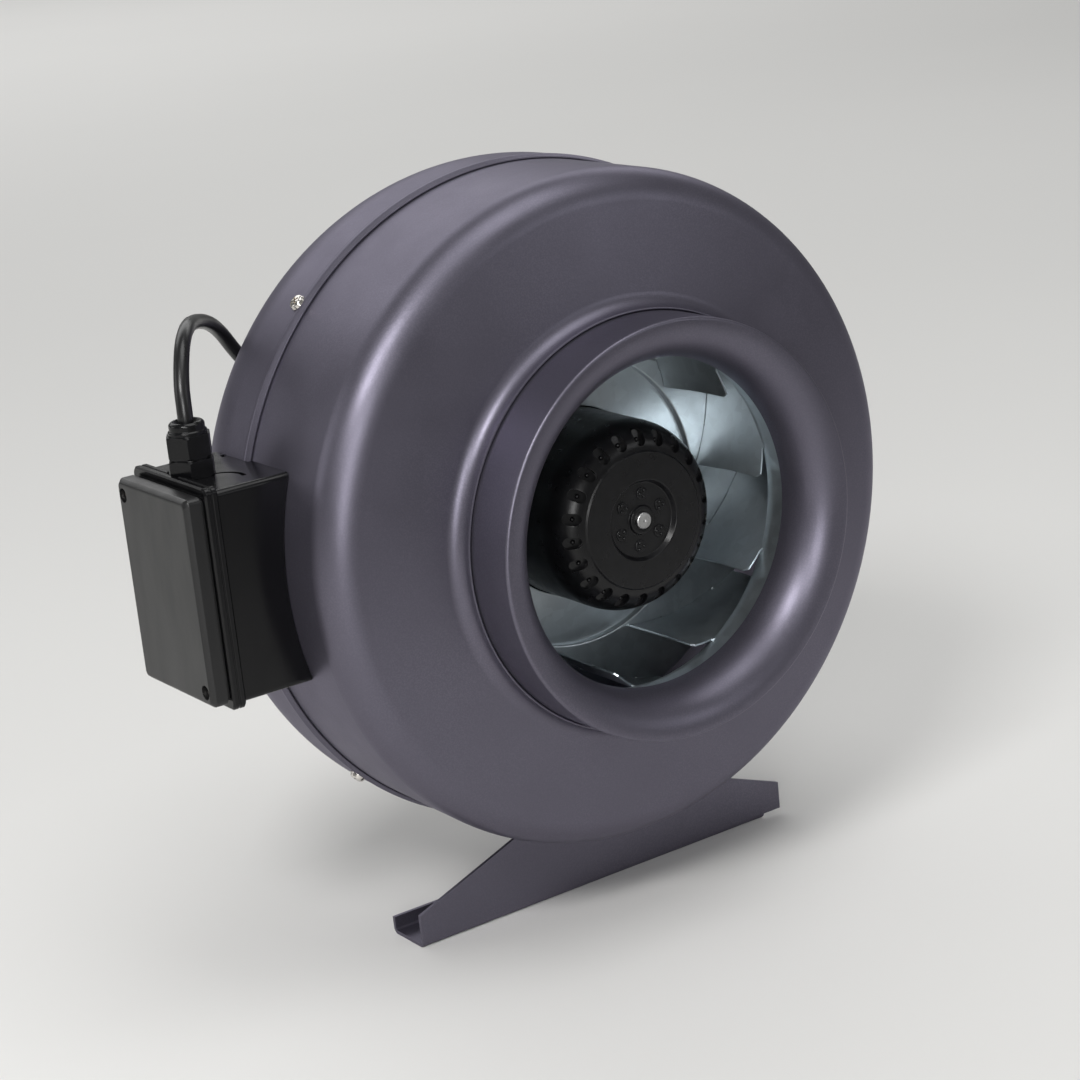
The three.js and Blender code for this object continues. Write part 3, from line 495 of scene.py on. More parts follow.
def aim(piece, point, direction):
    """Moves a piece made round y, with y = 0 at its seat, to a fan-frame point and direction."""
    start = Matrix.Translation(-place((0, 0, 0)))
    turn = Vector((0, 1, 0)).rotation_difference(Vector(direction)).to_matrix().to_4x4()
    piece.data.transform(Matrix.Translation(place(point)) @ turn @ start)
    return piece


def extrude(name, outline, start, end, axis="y"):
    """An outline made solid: drawn in (x, z) for axis y, (y, z) for axis x, (x, y) for axis z."""
    x, y, z = {"x": (2, 0, 1), "y": (0, 2, 1), "z": (0, 1, 2)}[axis]
    count = len(outline)
    points = [(*point, depth) for depth in (start, end) for point in outline]
    vertices = [(p[x], p[y], p[z]) for p in points]
    faces = [tuple(range(count)), tuple(range(2 * count - 1, count - 1, -1))]
    faces += [(i, (i + 1) % count, (i + 1) % count + count, i + count) for i in range(count)]
    return mesh_object(name, vertices, faces)


def block(name, x, y, z):
    outline = [(x[0], y[0]), (x[1], y[0]), (x[1], y[1]), (x[0], y[1])]
    return extrude(name, outline, z[0], z[1], "z")


def grid(rows, columns, first=0):
    """The faces of a grid whose points run row by row, from the point numbered first."""
    step = columns + 1
    starts = [first + i * step + j for i in range(rows) for j in range(columns)]
    return [(a, a + 1, a + step + 1, a + step) for a in starts]


def loft(name, loops):
    """A closed solid through loops of equal point counts."""
    count = len(loops[0])
    vertices = [p for loop in loops for p in loop]
    faces = [tuple(range(count)), tuple(range(len(vertices) - 1, len(vertices) - count - 1, -1))]
    for level in range(len(loops) - 1):
        for i in range(count):
            a, b = level * count + i, level * count + (i + 1) % count
            faces.append((a, b, b + count, a + count))
    return mesh_object(name, vertices, faces)


# ---- the motor lead, first of the pieces

GLAND_LOW, GLAND_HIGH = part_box("gland_body")
GLAND_X = (GLAND_LOW.x + GLAND_HIGH.x) / 2 / MM
GLAND_Y = station((GLAND_LOW.y + GLAND_HIGH.y) / 2)
LEAD_DIAMETER = 7.2

# The lead's way in through the dome.
DOME_R = 60
DOME_Y = 138.5
LEAD_ANGLE = 146.4
LEAD_Y = 196.4
LEAD_DIRECTION = Vector((0.593, -0.269, -0.759)).normalized()


def dome_point(angle, y):
    rise = math.asin((y - DOME_Y) / DOME_R)
    radius = SKIRT_R - DOME_R + DOME_R * math.cos(rise)
    return Vector(polar(angle, radius, DOME_Y + DOME_R * math.sin(rise)))


LEAD_ENTRY = dome_point(LEAD_ANGLE, LEAD_Y)

LEAD_ROUTE = [
    (GLAND_X, GLAND_Y, 24.4),
    (GLAND_X, GLAND_Y, 45),
    (GLAND_X, GLAND_Y, 66),
    (GLAND_X, GLAND_Y, 81),
    (-182.4, 122.3, 92.3),
    (-175, 132, 106.2),
    (-165.5, 144.5, 111.7),
    (-148, 168.5, 109.5),
    (-133.5, 184.3, 103.9),
    (-123.8, 193.3, 96.7),
    (-113.7, 199, 84.1),
    LEAD_ENTRY - 10 * LEAD_DIRECTION,
    LEAD_ENTRY + 2 * LEAD_DIRECTION,
    LEAD_ENTRY + 14 * LEAD_DIRECTION,
    (-83.5, 186, 48.5),
    (-73, 175, 43),
    (-59, 159, 38),
    (-45.5, 143.5, 32.5),
    (-34, 130, 27),
    (-25.8, 118, 22.7),
    (-21.2, 108, 20.5),
    (-20, 99.4, 20),
]


def centripetal(points):
    """A smooth line through points that keeps close to them (Catmull-Rom, centripetal)."""
    steps = 10
    points = [Vector(p) for p in points]
    points = [2 * points[0] - points[1]] + points + [2 * points[-1] - points[-2]]
    line = []
    for p0, p1, p2, p3 in zip(points, points[1:], points[2:], points[3:]):
        t1 = math.sqrt((p1 - p0).length)
        t2 = t1 + math.sqrt((p2 - p1).length)
        t3 = t2 + math.sqrt((p3 - p2).length)
        for step in range(steps):
            t = t1 + (t2 - t1) * step / steps
            a1 = p0 + (p1 - p0) * (t / t1)
            a2 = p1 + (p2 - p1) * ((t - t1) / (t2 - t1))
            a3 = p2 + (p3 - p2) * ((t - t2) / (t3 - t2))
            b1 = a1 + (a2 - a1) * (t / t2)
            b2 = a2 + (a3 - a2) * ((t - t1) / (t3 - t1))
            line.append(b1 + (b2 - b1) * ((t - t1) / (t2 - t1)))
    return line + [points[-2]]


def make_lead():
    line = [place(p) for p in centripetal(LEAD_ROUTE)]
    data = bpy.data.curves.new("motor_lead_cable", "CURVE")
    data.dimensions = "3D"
    data.bevel_depth = LEAD_DIAMETER / 2 * MM
    data.bevel_resolution = 6
    data.use_fill_caps = True
    spline = data.splines.new("POLY")
    spline.points.add(len(line) - 1)
    for point, target in zip(spline.points, line):
        point.co = (*target, 1)
    spline.use_smooth = True
    lead = add_object("motor_lead_cable", data)
    dress(lead, "casing", "black_rubber", "motor_lead")


make_lead()


# ---- case

SHOULDER = 18
SHOULDER_Y = 61
FACE_SLOPE = 10
NECK_R = SPIGOT_R + 1.6
NECK_FILLET = 8
CASE_SCREW_ANGLES = (45, 135, 225, 315)
CASE_SCREW_Y = SEAM_Y + 7


def inlet_shell():
    half = SHEET / 2
    line = [(DRUM_R - half, SHELL_END_Y - half)]
    line += arc((DRUM_R - SHOULDER, SHOULDER_Y), SHOULDER - half, 0, FACE_SLOPE - 90, 18)
    line += arc((NECK_R + NECK_FILLET, NECK_Y), NECK_FILLET + half, 90 + FACE_SLOPE, 180, 10)
    dress(lathe("case_front_shell", sheet_outline(line, SHEET)), "casing", "powder_coat", "inlet_shell")


def outlet_shell():
    half = SHEET / 2
    # The lip turns in to the front shell behind a small bead.
    bead = 0.5
    skirt = SKIRT_R - half
    line = [(DRUM_R + 0.12 + half, SEAM_Y + half), (DRUM_R + 0.3 + half, SEAM_Y + 1.4),
            (skirt + bead * 0.8, SEAM_Y + 2.5), (skirt + bead, SEAM_Y + 3.3),
            (skirt + bead * 0.7, SEAM_Y + 4.3), (skirt, SEAM_Y + 5.6)]
    line += arc((SKIRT_R - DOME_R, DOME_Y), DOME_R - half, 0, 75, 26)
    line += arc((SPIGOT_R + NECK_FILLET, LENGTH - NECK_Y), NECK_FILLET + half, 255, 180, 10)
    line += [(SPIGOT_R - half, LENGTH - half)]
    dress(lathe("case_rear_shell", sheet_outline(line, SHEET)), "casing", "powder_coat", "outlet_shell")


def inlet_cone():
    half = THIN_SHEET / 2
    throat_r, throat_y = 78.5, 22
    collar = [(SPIGOT_R - half, 42), (SPIGOT_R - half, 10)]
    rim = arc((SPIGOT_R - half - 1.1, half + 1.1), 1.1, 0, -88, 6)
    width = rim[-1][0] - throat_r - half
    bell = [(rim[-1][0] - width * math.sin(t), half + throat_y * (1 - math.cos(t)))
            for t in (math.pi / 2 * i / 22 for i in range(1, 23))]
    line = collar + rim + bell + [(throat_r + half, throat_y + 3)]
    dress(lathe("inlet_bellmouth", sheet_outline(line, THIN_SHEET)), "casing", "powder_coat", "inlet_cone")


def pan_head(name, radius, rise, shank_r, length):
    """A pan-head screw with a cross recess, its seat at y = 0 and its head towards +y."""
    line = [(0, rise)]
    line += rounded([(radius * 0.35, rise), (radius * 0.8, rise * 0.86, 1.2), (radius, 0.35, 0.5),
                     (radius, 0)])
    line += [(shank_r, 0), (shank_r, -length), (0, -length)]
    head = solid_of_turning(name, line, 40)
    slot_half, slot_reach = radius * 0.13, radius * 0.56
    bars = [block("bar", (-a, a), (rise * 0.35, rise + 1), (-b, b))
            for a, b in ((slot_half, slot_reach), (slot_reach, slot_half))]
    return cut(head, *bars)


def case_screws():
    for i, angle in enumerate(CASE_SCREW_ANGLES):
        screw = pan_head(f"case_screw_head_{i + 1}", 4.1, 2.6, 1.9, 9)
        aim(screw, polar(angle, SKIRT_R + 0.15, CASE_SCREW_Y), polar(angle, 1, 0))
        dress(screw, "casing", "nickel_steel", f"case_screw_{i + 1}")


def lead_sleeve():
    """The rubber sleeve where the lead goes in through the dome, slanted along the lead."""
    bore = LEAD_DIAMETER / 2 + 0.25
    outline = closed_round([(bore, -13), (5.2, -13, 0.8), (6.2, -7, 2), (8.2, -4.4, 1.2), (8.6, -1.5, 0.8),
                            (8.6, 5.5, 0.5), (7.4, 7, 0.8), (7.2, 12.5, 0.8), (bore, 12.5)])
    sleeve = aim(lathe("lead_sleeve", outline, 40), LEAD_ENTRY, LEAD_DIRECTION)
    dress(sleeve, "casing", "black_rubber", "shell_grommet")


inlet_shell()
outlet_shell()
inlet_cone()
case_screws()
lead_sleeve()


# ---- foot

FOOT_LOW, FOOT_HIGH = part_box("foot_bracket")
FOOT_FRONT = station(FOOT_LOW.y)
FOOT_BACK = station(FOOT_HIGH.y)
FOOT_HALF = FOOT_HIGH.x / MM
FOOT_FLOOR = height(FOOT_LOW.z)
FOOT_SHEET = 1.8
FOOT_TAB_R = DRUM_R + 0.4
FOOT_SCREW_ANGLES = (262.5, 277.5)
FOOT_SCREW_Y = FOOT_FRONT + 13
FOOT_HOLE_X = 62
FOOT_HOLE_R = 3.5


def foot_top(x):
    """The front flange's top edge: a slope from each end up to the drum, then the drum's arc."""
    end_height, knee, knee_z = 17, 44, -156.5
    slope = (knee_z - FOOT_FLOOR - end_height) / (FOOT_HALF - knee)
    straight = FOOT_FLOOR + end_height + (FOOT_HALF - abs(x)) * slope
    if abs(x) >= FOOT_TAB_R:
        return straight
    return min(straight, -math.sqrt(FOOT_TAB_R ** 2 - x * x))


def foot_section(x):
    """The sheet's line across the channel at x, from the rear lip round to the flange's top."""
    half, bend = FOOT_SHEET / 2, 2.2
    back, front, bottom = FOOT_BACK - half, FOOT_FRONT + half, FOOT_FLOOR + half
    return rounded([(back, FOOT_FLOOR + 8.7), (back, bottom, bend), (front, bottom, bend),
                    (front, FOOT_FLOOR + 6), (front, foot_top(x))], 6)


def foot_bracket():
    notch, spans, end_spans = 11, 90, 4
    stations = [-FOOT_HALF + (2 * FOOT_HALF - notch) * i / spans for i in range(spans + 1)]
    rows = [foot_section(x) for x in stations]
    vertices = [(x, y, z) for x, row in zip(stations, rows) for y, z in row]
    faces = grid(spans, len(rows[0]) - 1)
    # Past the notch only the flange goes on.
    faces += grid(end_spans, 2, len(vertices))
    for i in range(end_spans + 1):
        x = stations[-1] + notch * i / end_spans
        vertices += [(x, FOOT_FRONT + FOOT_SHEET / 2, z)
                     for z in (FOOT_FLOOR + 2.6, FOOT_FLOOR + 6, foot_top(x))]
    channel = mesh_object("foot_channel", vertices, faces)
    thicken(channel, FOOT_SHEET)
    cut(channel, *[aim(rod("hole", FOOT_HOLE_R, -5, 5), (side * FOOT_HOLE_X, (FOOT_FRONT + FOOT_BACK) / 2,
                                                         FOOT_FLOOR), (0, 0, 1)) for side in (-1, 1)])
    soften(channel, 0.45)
    foot = join("foot_sheet", channel, *[foot_tab(side) for side in (-1, 1)])
    dress(foot, "casing", "powder_coat", "foot_bracket")


def foot_tab(side):
    """A saddle tab, bent back from the flange and curved to the drum."""
    inner, outer, steps = 9, 34, 12
    line = rounded([(0.2, 3.5), (0.2, 0, 2), (23, 0)])
    vertices = []
    for i in range(steps + 1):
        angle = 270 + side * math.degrees(math.asin((inner + (outer - inner) * i / steps) / FOOT_TAB_R))
        vertices += [polar(angle, FOOT_TAB_R + FOOT_SHEET / 2 + drop, FOOT_FRONT + FOOT_SHEET / 2 + back)
                     for back, drop in line]
    tab = mesh_object("tab", vertices, grid(steps, len(line) - 1))
    thicken(tab, FOOT_SHEET)
    return soften(tab, 0.4)


def hex_nut(name, across, rise, bore, chamfer=0.14, turned=1.0):
    """A hexagon with both faces' corners turned off, and a bore. Its seat is at y = 0."""
    corner, flat, segments = across / math.sqrt(3), across / 2, 72
    end = corner - (corner - flat) * turned
    angles = [360 * i / segments for i in range(segments)]
    levels = ((0, end), (rise * chamfer, corner), (rise * (1 - chamfer), corner), (rise, end))
    loops = [[polar(angle, min(limit, flat / math.cos(math.radians(angle % 60 - 30))), y)
              for angle in angles] for y, limit in levels]
    loops += [[polar(angle, bore, y) for angle in angles] for y in (rise, 0)]
    faces = []
    for level in range(len(loops)):
        here, after = level * segments, (level + 1) % len(loops) * segments
        faces += [(here + i, here + (i + 1) % segments, after + (i + 1) % segments, after + i)
                  for i in range(segments)]
    return mesh_object(name, [p for loop in loops for p in loop], faces, flat=True)


def foot_fasteners():
    for name, angle in zip(("left", "right"), FOOT_SCREW_ANGLES):
        outward = Vector(polar(angle, 1, 0))
        screw = aim(pan_head(f"foot_screw_{name}_steel", 4.6, 3, 2.4, 13),
                    polar(angle, DRUM_R - SHEET - 0.2, FOOT_SCREW_Y), -outward)
        dress(screw, "casing", "nickel_steel", f"foot_screw_{name}")
        nut = aim(hex_nut(f"foot_nut_{name}_steel", 8, 4, 2.6),
                  polar(angle, FOOT_TAB_R + FOOT_SHEET + 0.1, FOOT_SCREW_Y), outward)
        dress(nut, "casing", "nickel_steel", f"foot_nut_{name}")


foot_bracket()
foot_fasteners()


# ---- terminal box

BOX_LOW, BOX_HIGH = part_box("terminal_box_base")
RIM_STEP = 1.2
RIM_RISE = 2.4
BOX_Y0 = station(BOX_LOW.y) + RIM_STEP
BOX_Y1 = station(BOX_HIGH.y) - RIM_STEP
BOX_Z0 = height(BOX_LOW.z) + RIM_RISE
BOX_Z1 = height(BOX_HIGH.z) - RIM_RISE
JOINT_X = BOX_LOW.x / MM
LID_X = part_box("terminal_box_lid")[0].x / MM
BOX_BODY_X = JOINT_X + 6.5
BOX_INNER_X = -145             # past the drum, which then cuts the box to its curve
HOLLOW_DRUM_R = 168            # where the inside of the box stops, short of the drum
BOX_WALL = 2.4
LID_TRIM = -1                  # the lid stands this much in from the box, above and below
LID_SCREWS = {"upper": (BOX_Y1 - 5.7, BOX_Z1 - 8.5), "lower": (BOX_Y0 + 5.7, BOX_Z0 + 8)}


def box_solid(name, rings, trim=0):
    """A solid through loops of the box's outline, each (x, how far grown, corner radius)."""
    loops = []
    for x, grow, radius in rings:
        y0, y1 = BOX_Y0 - grow, BOX_Y1 + grow
        z0, z1 = BOX_Z0 - grow - trim, BOX_Z1 + grow + trim
        corners = ((y1 - radius, z1 - radius, 0), (y0 + radius, z1 - radius, 90),
                   (y0 + radius, z0 + radius, 180), (y1 - radius, z0 + radius, 270))
        loops.append([(x, a, b) for y, z, start in corners
                      for a, b in arc((y, z), radius, start, start + 90, 6)])
    return loft(name, loops)


def post(name, yz, radius, x0, x1):
    return aim(rod(name, radius, x0, x1), (0, *yz), (1, 0, 0))


def terminal_box_base():
    groove, low, high = 0.5, BOX_Y0 - 10, BOX_Y1 + 10
    body = box_solid("box_body", [(BOX_BODY_X - 1, 0, 3), (BOX_INNER_X, 0, 3)])
    rim = box_solid("box_rim", [
        (JOINT_X, RIM_STEP - 0.8, 3), (JOINT_X + 0.8, RIM_STEP, 3.4), (JOINT_X + 2.6, RIM_STEP, 3.4),
        (JOINT_X + 3.0, RIM_STEP - groove, 3.2), (JOINT_X + 3.6, RIM_STEP - groove, 3.2),
        (JOINT_X + 4.0, RIM_STEP, 3.4), (BOX_BODY_X - 0.8, RIM_STEP, 3.4), (BOX_BODY_X, RIM_STEP - 0.8, 3)],
        RIM_RISE - RIM_STEP)
    hollow = cut(box_solid("hollow", [(JOINT_X - 2, -BOX_WALL, 2), (BOX_INNER_X, -BOX_WALL, 2)]),
                 rod("drum", HOLLOW_DRUM_R, low, high, 192))
    base = cut(body, rim, operation="UNION")
    cut(base, hollow, rod("drum", DRUM_R + 0.35, low, SEAM_Y - 0.6, 192),
        rod("drum", SKIRT_R + 0.55, SEAM_Y - 0.6, high, 192))
    cut(base, *[aim(cutter, (GLAND_X, GLAND_Y, BOX_Z1), (0, 0, 1))
                for cutter in (rod("pocket", 11.7, 0, 9, 64), rod("hole", 7.9, -9, 2, 48))])
    soften(base, 0.5, 3, 40)
    cut(base, *knock_out())
    posts = [cut(post(f"post_{key}", yz, 4, JOINT_X + 0.1, -164),
                 post("pilot", yz, 1.5, JOINT_X - 1, JOINT_X + 13)) for key, yz in LID_SCREWS.items()]
    dress(join("box_base_moulding", base, *posts), "casing", "black_plastic", "terminal_box_base")


def knock_out():
    """The arc groove of the unused knock-out in the box's top, and the small notch at its back edge."""
    centre, radius, width, start, end = (-181.5, 101), 13, 2.2, -20, 100
    outline = arc(centre, radius - width, start, end, 20) + arc(centre, radius, end, start, 20)
    groove = extrude("groove", outline, BOX_Z1 - 1.5, BOX_Z1 + 1, "z")
    notch = block("notch", (-160, -155.5), (BOX_Y1 - 15, BOX_Y1 - 11), (BOX_Z1 - 2, BOX_Z1 + 1))
    return groove, notch


def terminal_box_lid():
    bevel, back = 2.2, JOINT_X - 0.3
    lid = box_solid("box_lid_moulding", [
        (LID_X, -bevel - 0.9, 2), (LID_X, -bevel, 2.2), (LID_X + 0.25, -bevel + 0.5, 2.4),
        (LID_X + bevel - 0.3, -0.25, 2.9), (LID_X + bevel + 0.3, 0, 3), (back - 1.7, 0, 3),
        (back - 1.3, -1.2, 2.6), (back, -1.2, 2.6)], LID_TRIM)
    seat = box_solid("seat", [(back - 1.9, -2, 2), (back + 1, -2, 2)], LID_TRIM)
    # The hollow leaves out the two corners that the screws go through.
    y0, y1, z0, z1 = BOX_Y0 + 5.5, BOX_Y1 - 5.5, BOX_Z0 + 6.5, BOX_Z1 - 6.5
    inside = closed_round([(y1, z1 - 14, 2), (y1 - 14, z1, 2), (y0, z1, 3), (y0, z0 + 14, 2),
                           (y0 + 14, z0, 2), (y1, z0, 3)])
    hollow = extrude("hollow", inside, LID_X + 2.4, back + 1, "x")
    wells = [post("well", yz, 3.4, LID_X - 1, LID_X + 3.5) for yz in LID_SCREWS.values()]
    holes = [post("hole", yz, 2, LID_X, back + 1) for yz in LID_SCREWS.values()]
    cut(lid, seat, hollow, *wells, *holes)
    soften(lid, 0.3, angle=60)
    dress(lid, "casing", "lid_plastic", "terminal_box_lid")
    for key, yz in LID_SCREWS.items():
        screw = aim(pan_head(f"lid_screw_{key}_steel", 3, 1.8, 1.4, 16), (LID_X + 3.6, *yz), (-1, 0, 0))
        dress(screw, "casing", "nickel_steel", f"lid_screw_{key}")


terminal_box_base()
terminal_box_lid()


# ---- gland

def on_gland(piece, rise, material, node):
    """Puts a piece made round y on the gland's upright axis, its seat this far above the box's top."""
    dress(aim(piece, (GLAND_X, GLAND_Y, BOX_Z1 + rise), (0, 0, 1)), "casing", material, node)


def gland():
    hex_across, bore = 19.5, LEAD_DIAMETER / 2 + 0.35
    body = hex_nut("gland_hexagon", hex_across, 8, bore, 0.06, 0.4)
    thread = lathe("thread", threaded(7.6, bore, -12.5, 0.2, 1.5), 48)
    collar = lathe("collar", closed_round([(bore, 7), (8.9, 7), (8.9, 8.6, 0.3), (bore, 8.6)]), 64)
    on_gland(join("gland_body_moulding", body, thread, collar), 0.15, "black_plastic", "gland_body")
    hexagon = hex_nut("hexagon", hex_across - 0.4, 10.4, 7.5, 0.06, 0.5)
    dome = lathe("dome", closed_round([
        (7.5, 9.8), (8.9, 9.8), (8.9, 11.9, 0.6), (8.2, 12.5, 0.4), (8.2, 15.2, 1.3), (7, 16.3, 0.9),
        (6.2, 16.3, 0.5), (bore + 0.7, 14.6, 0.5), (bore + 0.5, 12)]), 64)
    on_gland(join("gland_nut_moulding", hexagon, dome), 9, "black_plastic", "gland_nut")
    lock = hex_nut("gland_locknut_moulding", hex_across - 0.7, 4.6, 7.8)
    on_gland(lock, -BOX_WALL - 5, "black_plastic", "gland_locknut")
    seal = [(bore + 0.1, 0), (6, 0, 0.5), (6, 5.8, 0.5), (bore + 0.1, 5.8)]
    on_gland(lathe("gland_seal_rubber", closed_round(seal), 48), 9.8, "black_rubber", "gland_seal")


def threaded(radius, bore, start, end, pitch):
    """The outline of a threaded sleeve, as rings."""
    line = [(bore, end), (radius, end)]
    for i in range(int((end - start) / pitch)):
        y = end - 1 - i * pitch
        line += [(radius, y), (radius - 0.7, y - pitch * 0.35), (radius, y - pitch * 0.7)]
    return line + [(radius - 0.8, start), (bore, start)]


gland()


# ---- rotor and impeller

ROTOR_R = 46
ROTOR_FRONT = 31.6
ROTOR_BACK = 91.8
SHOULDER_BOTTOM = 50
PLATEAU_R = (19.5, 32.5)
POCKETS = 22
POCKET_PHASE = 3
POCKET_AT = (39.6, 34.7)
POCKET_LEAN = 38.4
POCKET_HALF = 2.8
POCKET_REACH = 1.8
POCKET_SINK = 2.7
POCKET_TILT = 0.3
BOSSES = 6
BOSS_PHASE = 22
BOSS_R = 12.6
DISC_Y = 34
SHAFT_R = 4


def rotor_can():
    shoulder_r = ROTOR_R - PLATEAU_R[1] - 0.8
    shoulder = [(PLATEAU_R[1] + 0.8 + shoulder_r * math.sin(t), SHOULDER_BOTTOM - 17.6 * math.cos(t))
                for t in (math.pi / 2 * i / 16 for i in range(17))]
    front = rounded([(SHAFT_R + 0.2, DISC_Y - 1.6), (6.6, DISC_Y - 1.6, 0.5), (7.2, DISC_Y, 0.4),
                     (PLATEAU_R[0] - 1.6, DISC_Y, 0.6), (PLATEAU_R[0], ROTOR_FRONT, 0.7),
                     (PLATEAU_R[1], ROTOR_FRONT, 0.6), shoulder[0]], 4)
    rim = rounded([shoulder[-1], (ROTOR_R, ROTOR_BACK - 1.4, 1), (56, ROTOR_BACK - 1.4, 0.4),
                   (56, ROTOR_BACK, 0.4), (44.8, ROTOR_BACK, 0.6), (44.8, 47, 3), (41, 44.6, 1),
                   (12, 44.6, 1), (8.5, 46, 0.4), (SHAFT_R + 0.2, 46)], 4)
    can = lathe("rotor_housing", front[:-1] + shoulder + rim[1:], 176)
    pocket_turns = [POCKET_PHASE + 360 * i / POCKETS for i in range(POCKETS)]
    cut(can, join("pockets", *[pocket(turn) for turn in pocket_turns]))
    soften(can, 0.35)
    nubs = [dome_nub(on_shoulder(0, 0, POCKET_SINK, turn), 1.2, 1.3, on_shoulder(0, 0, -1, turn, (0, 0)))
            for turn in pocket_turns]
    bosses = [boss(BOSS_PHASE + 360 * i / BOSSES) for i in range(BOSSES)]
    dress(join("rotor_housing_casting", can, *nubs, *bosses), "rotor", "black_enamel", "rotor_can")


def on_shoulder(along, across, sink, turn, at=POCKET_AT):
    """A point on the can's sloping shoulder: along the slope, across it, and sunk square to it."""
    lean = math.radians(POCKET_LEAN)
    radius = at[0] + along * math.cos(lean) - sink * math.sin(lean)
    y = at[1] + along * math.sin(lean) + sink * math.cos(lean)
    turn = math.radians(turn)
    return (radius * math.cos(turn) - across * math.sin(turn), y,
            radius * math.sin(turn) + across * math.cos(turn))


def pocket(turn):
    """A round-ended cutter, square to the sloping shoulder, with its floor tilted toward the inlet."""
    outline = (arc((POCKET_REACH, 0), POCKET_HALF, -90, 90, 10)
               + arc((-POCKET_REACH, 0), POCKET_HALF, 90, 270, 10))
    mouth = [on_shoulder(u, v, -7, turn) for u, v in outline]
    bottom = [on_shoulder(u, v, POCKET_SINK - u * POCKET_TILT, turn) for u, v in outline]
    return loft("pocket", [mouth, bottom])


def dome_nub(centre, radius, rise, toward=(0, -1, 0)):
    """A small domed nub that faces the inlet, or along `toward`."""
    sunk = 0.3
    turns = [math.pi / 2 * i / 5 for i in range(5)]
    dome = [(radius * math.cos(t), rise * math.sin(t)) for t in turns]
    line = [(0, -sunk), (radius, -sunk), *dome, (0, rise)]
    return aim(solid_of_turning("nub", line, 16), centre, toward)


def boss(angle):
    """A round boss with three nubs."""
    line = [(0, -0.4)] + rounded([(3.1, -0.4), (3.1, 0.7, 0.5), (0, 0.7)], 4)
    pad = aim(solid_of_turning("pad", line, 32), polar(angle, BOSS_R, DISC_Y), (0, -1, 0))
    centre = Vector(polar(angle, BOSS_R, DISC_Y - 0.7))
    nubs = [dome_nub(centre + Vector(polar(90 + 120 * i + angle, 1.75, 0)), 0.95, 0.9) for i in range(3)]
    return join("boss", pad, *nubs)


def shaft():
    front, back = 31, 104
    line = [(0, front + 0.5), (0.3, front + 0.4), (0.8, front), (SHAFT_R - 0.4, front),
            (SHAFT_R, front + 0.4), (SHAFT_R, back - 0.7), (SHAFT_R - 0.7, back), (0, back)]
    dress(solid_of_turning("shaft_steel", line, 64), "rotor", "ground_steel", "motor_shaft")


BLADES = 10
FIRST_BLADE = 1
BLADE_INNER = 74
BLADE_SLANT = 1.2              # how far the leading edge slopes outward toward the inlet
BLADE_LEAN = math.tan(math.radians(30))
PLATE_Y = 86
STEP_R = 71.5
STEP = 3
SHROUD_R = 81.2
SHROUD_BEND = 14
SHROUD_BEND_Y = 34
SHROUD_TURN = 60
TAB_RADII = ((78.5, 84), (95, 101))
RIVET_ANGLES = (45, 135, 225, 315)
RIVET_RING_R = 51


def blade_angle(radius):
    """How far round from its leading edge a blade is at a radius, in degrees."""
    return math.degrees(math.log(radius / BLADE_INNER) / BLADE_LEAN)


def shroud_y(radius):
    """The station of the shroud's back face at a radius."""
    centre_r = SHROUD_R + SHROUD_BEND
    end = math.radians(180 - SHROUD_TURN)
    inner = SHROUD_BEND - THIN_SHEET
    end_r, end_y = centre_r + inner * math.cos(end), SHROUD_BEND_Y + inner * math.sin(end)
    if radius < end_r:
        reach = min(1, (centre_r - radius) / inner)
        return SHROUD_BEND_Y + inner * math.sqrt(max(0, 1 - reach * reach))
    return end_y + (radius - end_r) / math.tan(math.radians(SHROUD_TURN))


def blade_front(radius):
    """The station of a blade's front edge at a radius."""
    inner_r, inner_y, corner_r = 75.5, 36.5, 82.6
    corner_y = shroud_y(83.4) + 0.6
    if radius <= inner_r:
        return inner_y + (inner_r - radius) * 3
    if radius <= corner_r:
        return inner_y + (corner_y - inner_y) * (radius - inner_r) / (corner_r - inner_r)
    return shroud_y(radius) + 0.6


def blade(index):
    """A blade: a curved sheet with two tabs that go through the back plate and stand proud behind it."""
    start = FIRST_BLADE - 360 * index / BLADES
    outer, bottom = IMPELLER_R - 1.2, PLATE_Y - 0.3
    columns, rows, steps = 30, 3, 4
    vertices = []
    for i in range(columns + 1):
        radius = BLADE_INNER + (outer - BLADE_INNER) * (i / columns) ** 1.15
        top = blade_front(radius)
        for j in range(rows + 1):
            share = j / rows
            r = radius + (0 if i else BLADE_SLANT) * (1 - share)
            vertices.append(polar(start + blade_angle(r), r, top + (bottom - top) * share))
    faces = grid(columns, rows)
    for low, high in TAB_RADII:
        faces += grid(steps, 1, len(vertices))
        for i in range(steps + 1):
            radius = low + (high - low) * i / steps
            vertices += [polar(start + blade_angle(radius), radius, y)
                         for y in (bottom - 0.5, PLATE_Y + THIN_SHEET + 0.8)]
    strip = mesh_object(f"blade_{index + 1:02d}_sheet", vertices, faces)
    thicken(strip, THIN_SHEET)
    soften(strip, 0.22)
    dress(strip, "rotor", "galvanised_steel", f"impeller_blade_{index + 1:02d}")


def back_plate():
    half = THIN_SHEET / 2
    line = rounded([(ROTOR_R + 0.9, PLATE_Y + STEP + half), (STEP_R - 0.1, PLATE_Y + STEP + half, 0.6),
                    (STEP_R + 0.3, PLATE_Y + half, 0.6), (IMPELLER_R - 0.5, PLATE_Y + half)], 4)
    plate = lathe("impeller_plate", sheet_outline(line, THIN_SHEET))
    slots = [plate_slot(FIRST_BLADE - 360 * index / BLADES, low, high)
             for index in range(BLADES) for low, high in TAB_RADII]
    cut(plate, join("slots", *slots))
    dress(plate, "rotor", "galvanised_steel", "impeller_back_plate")


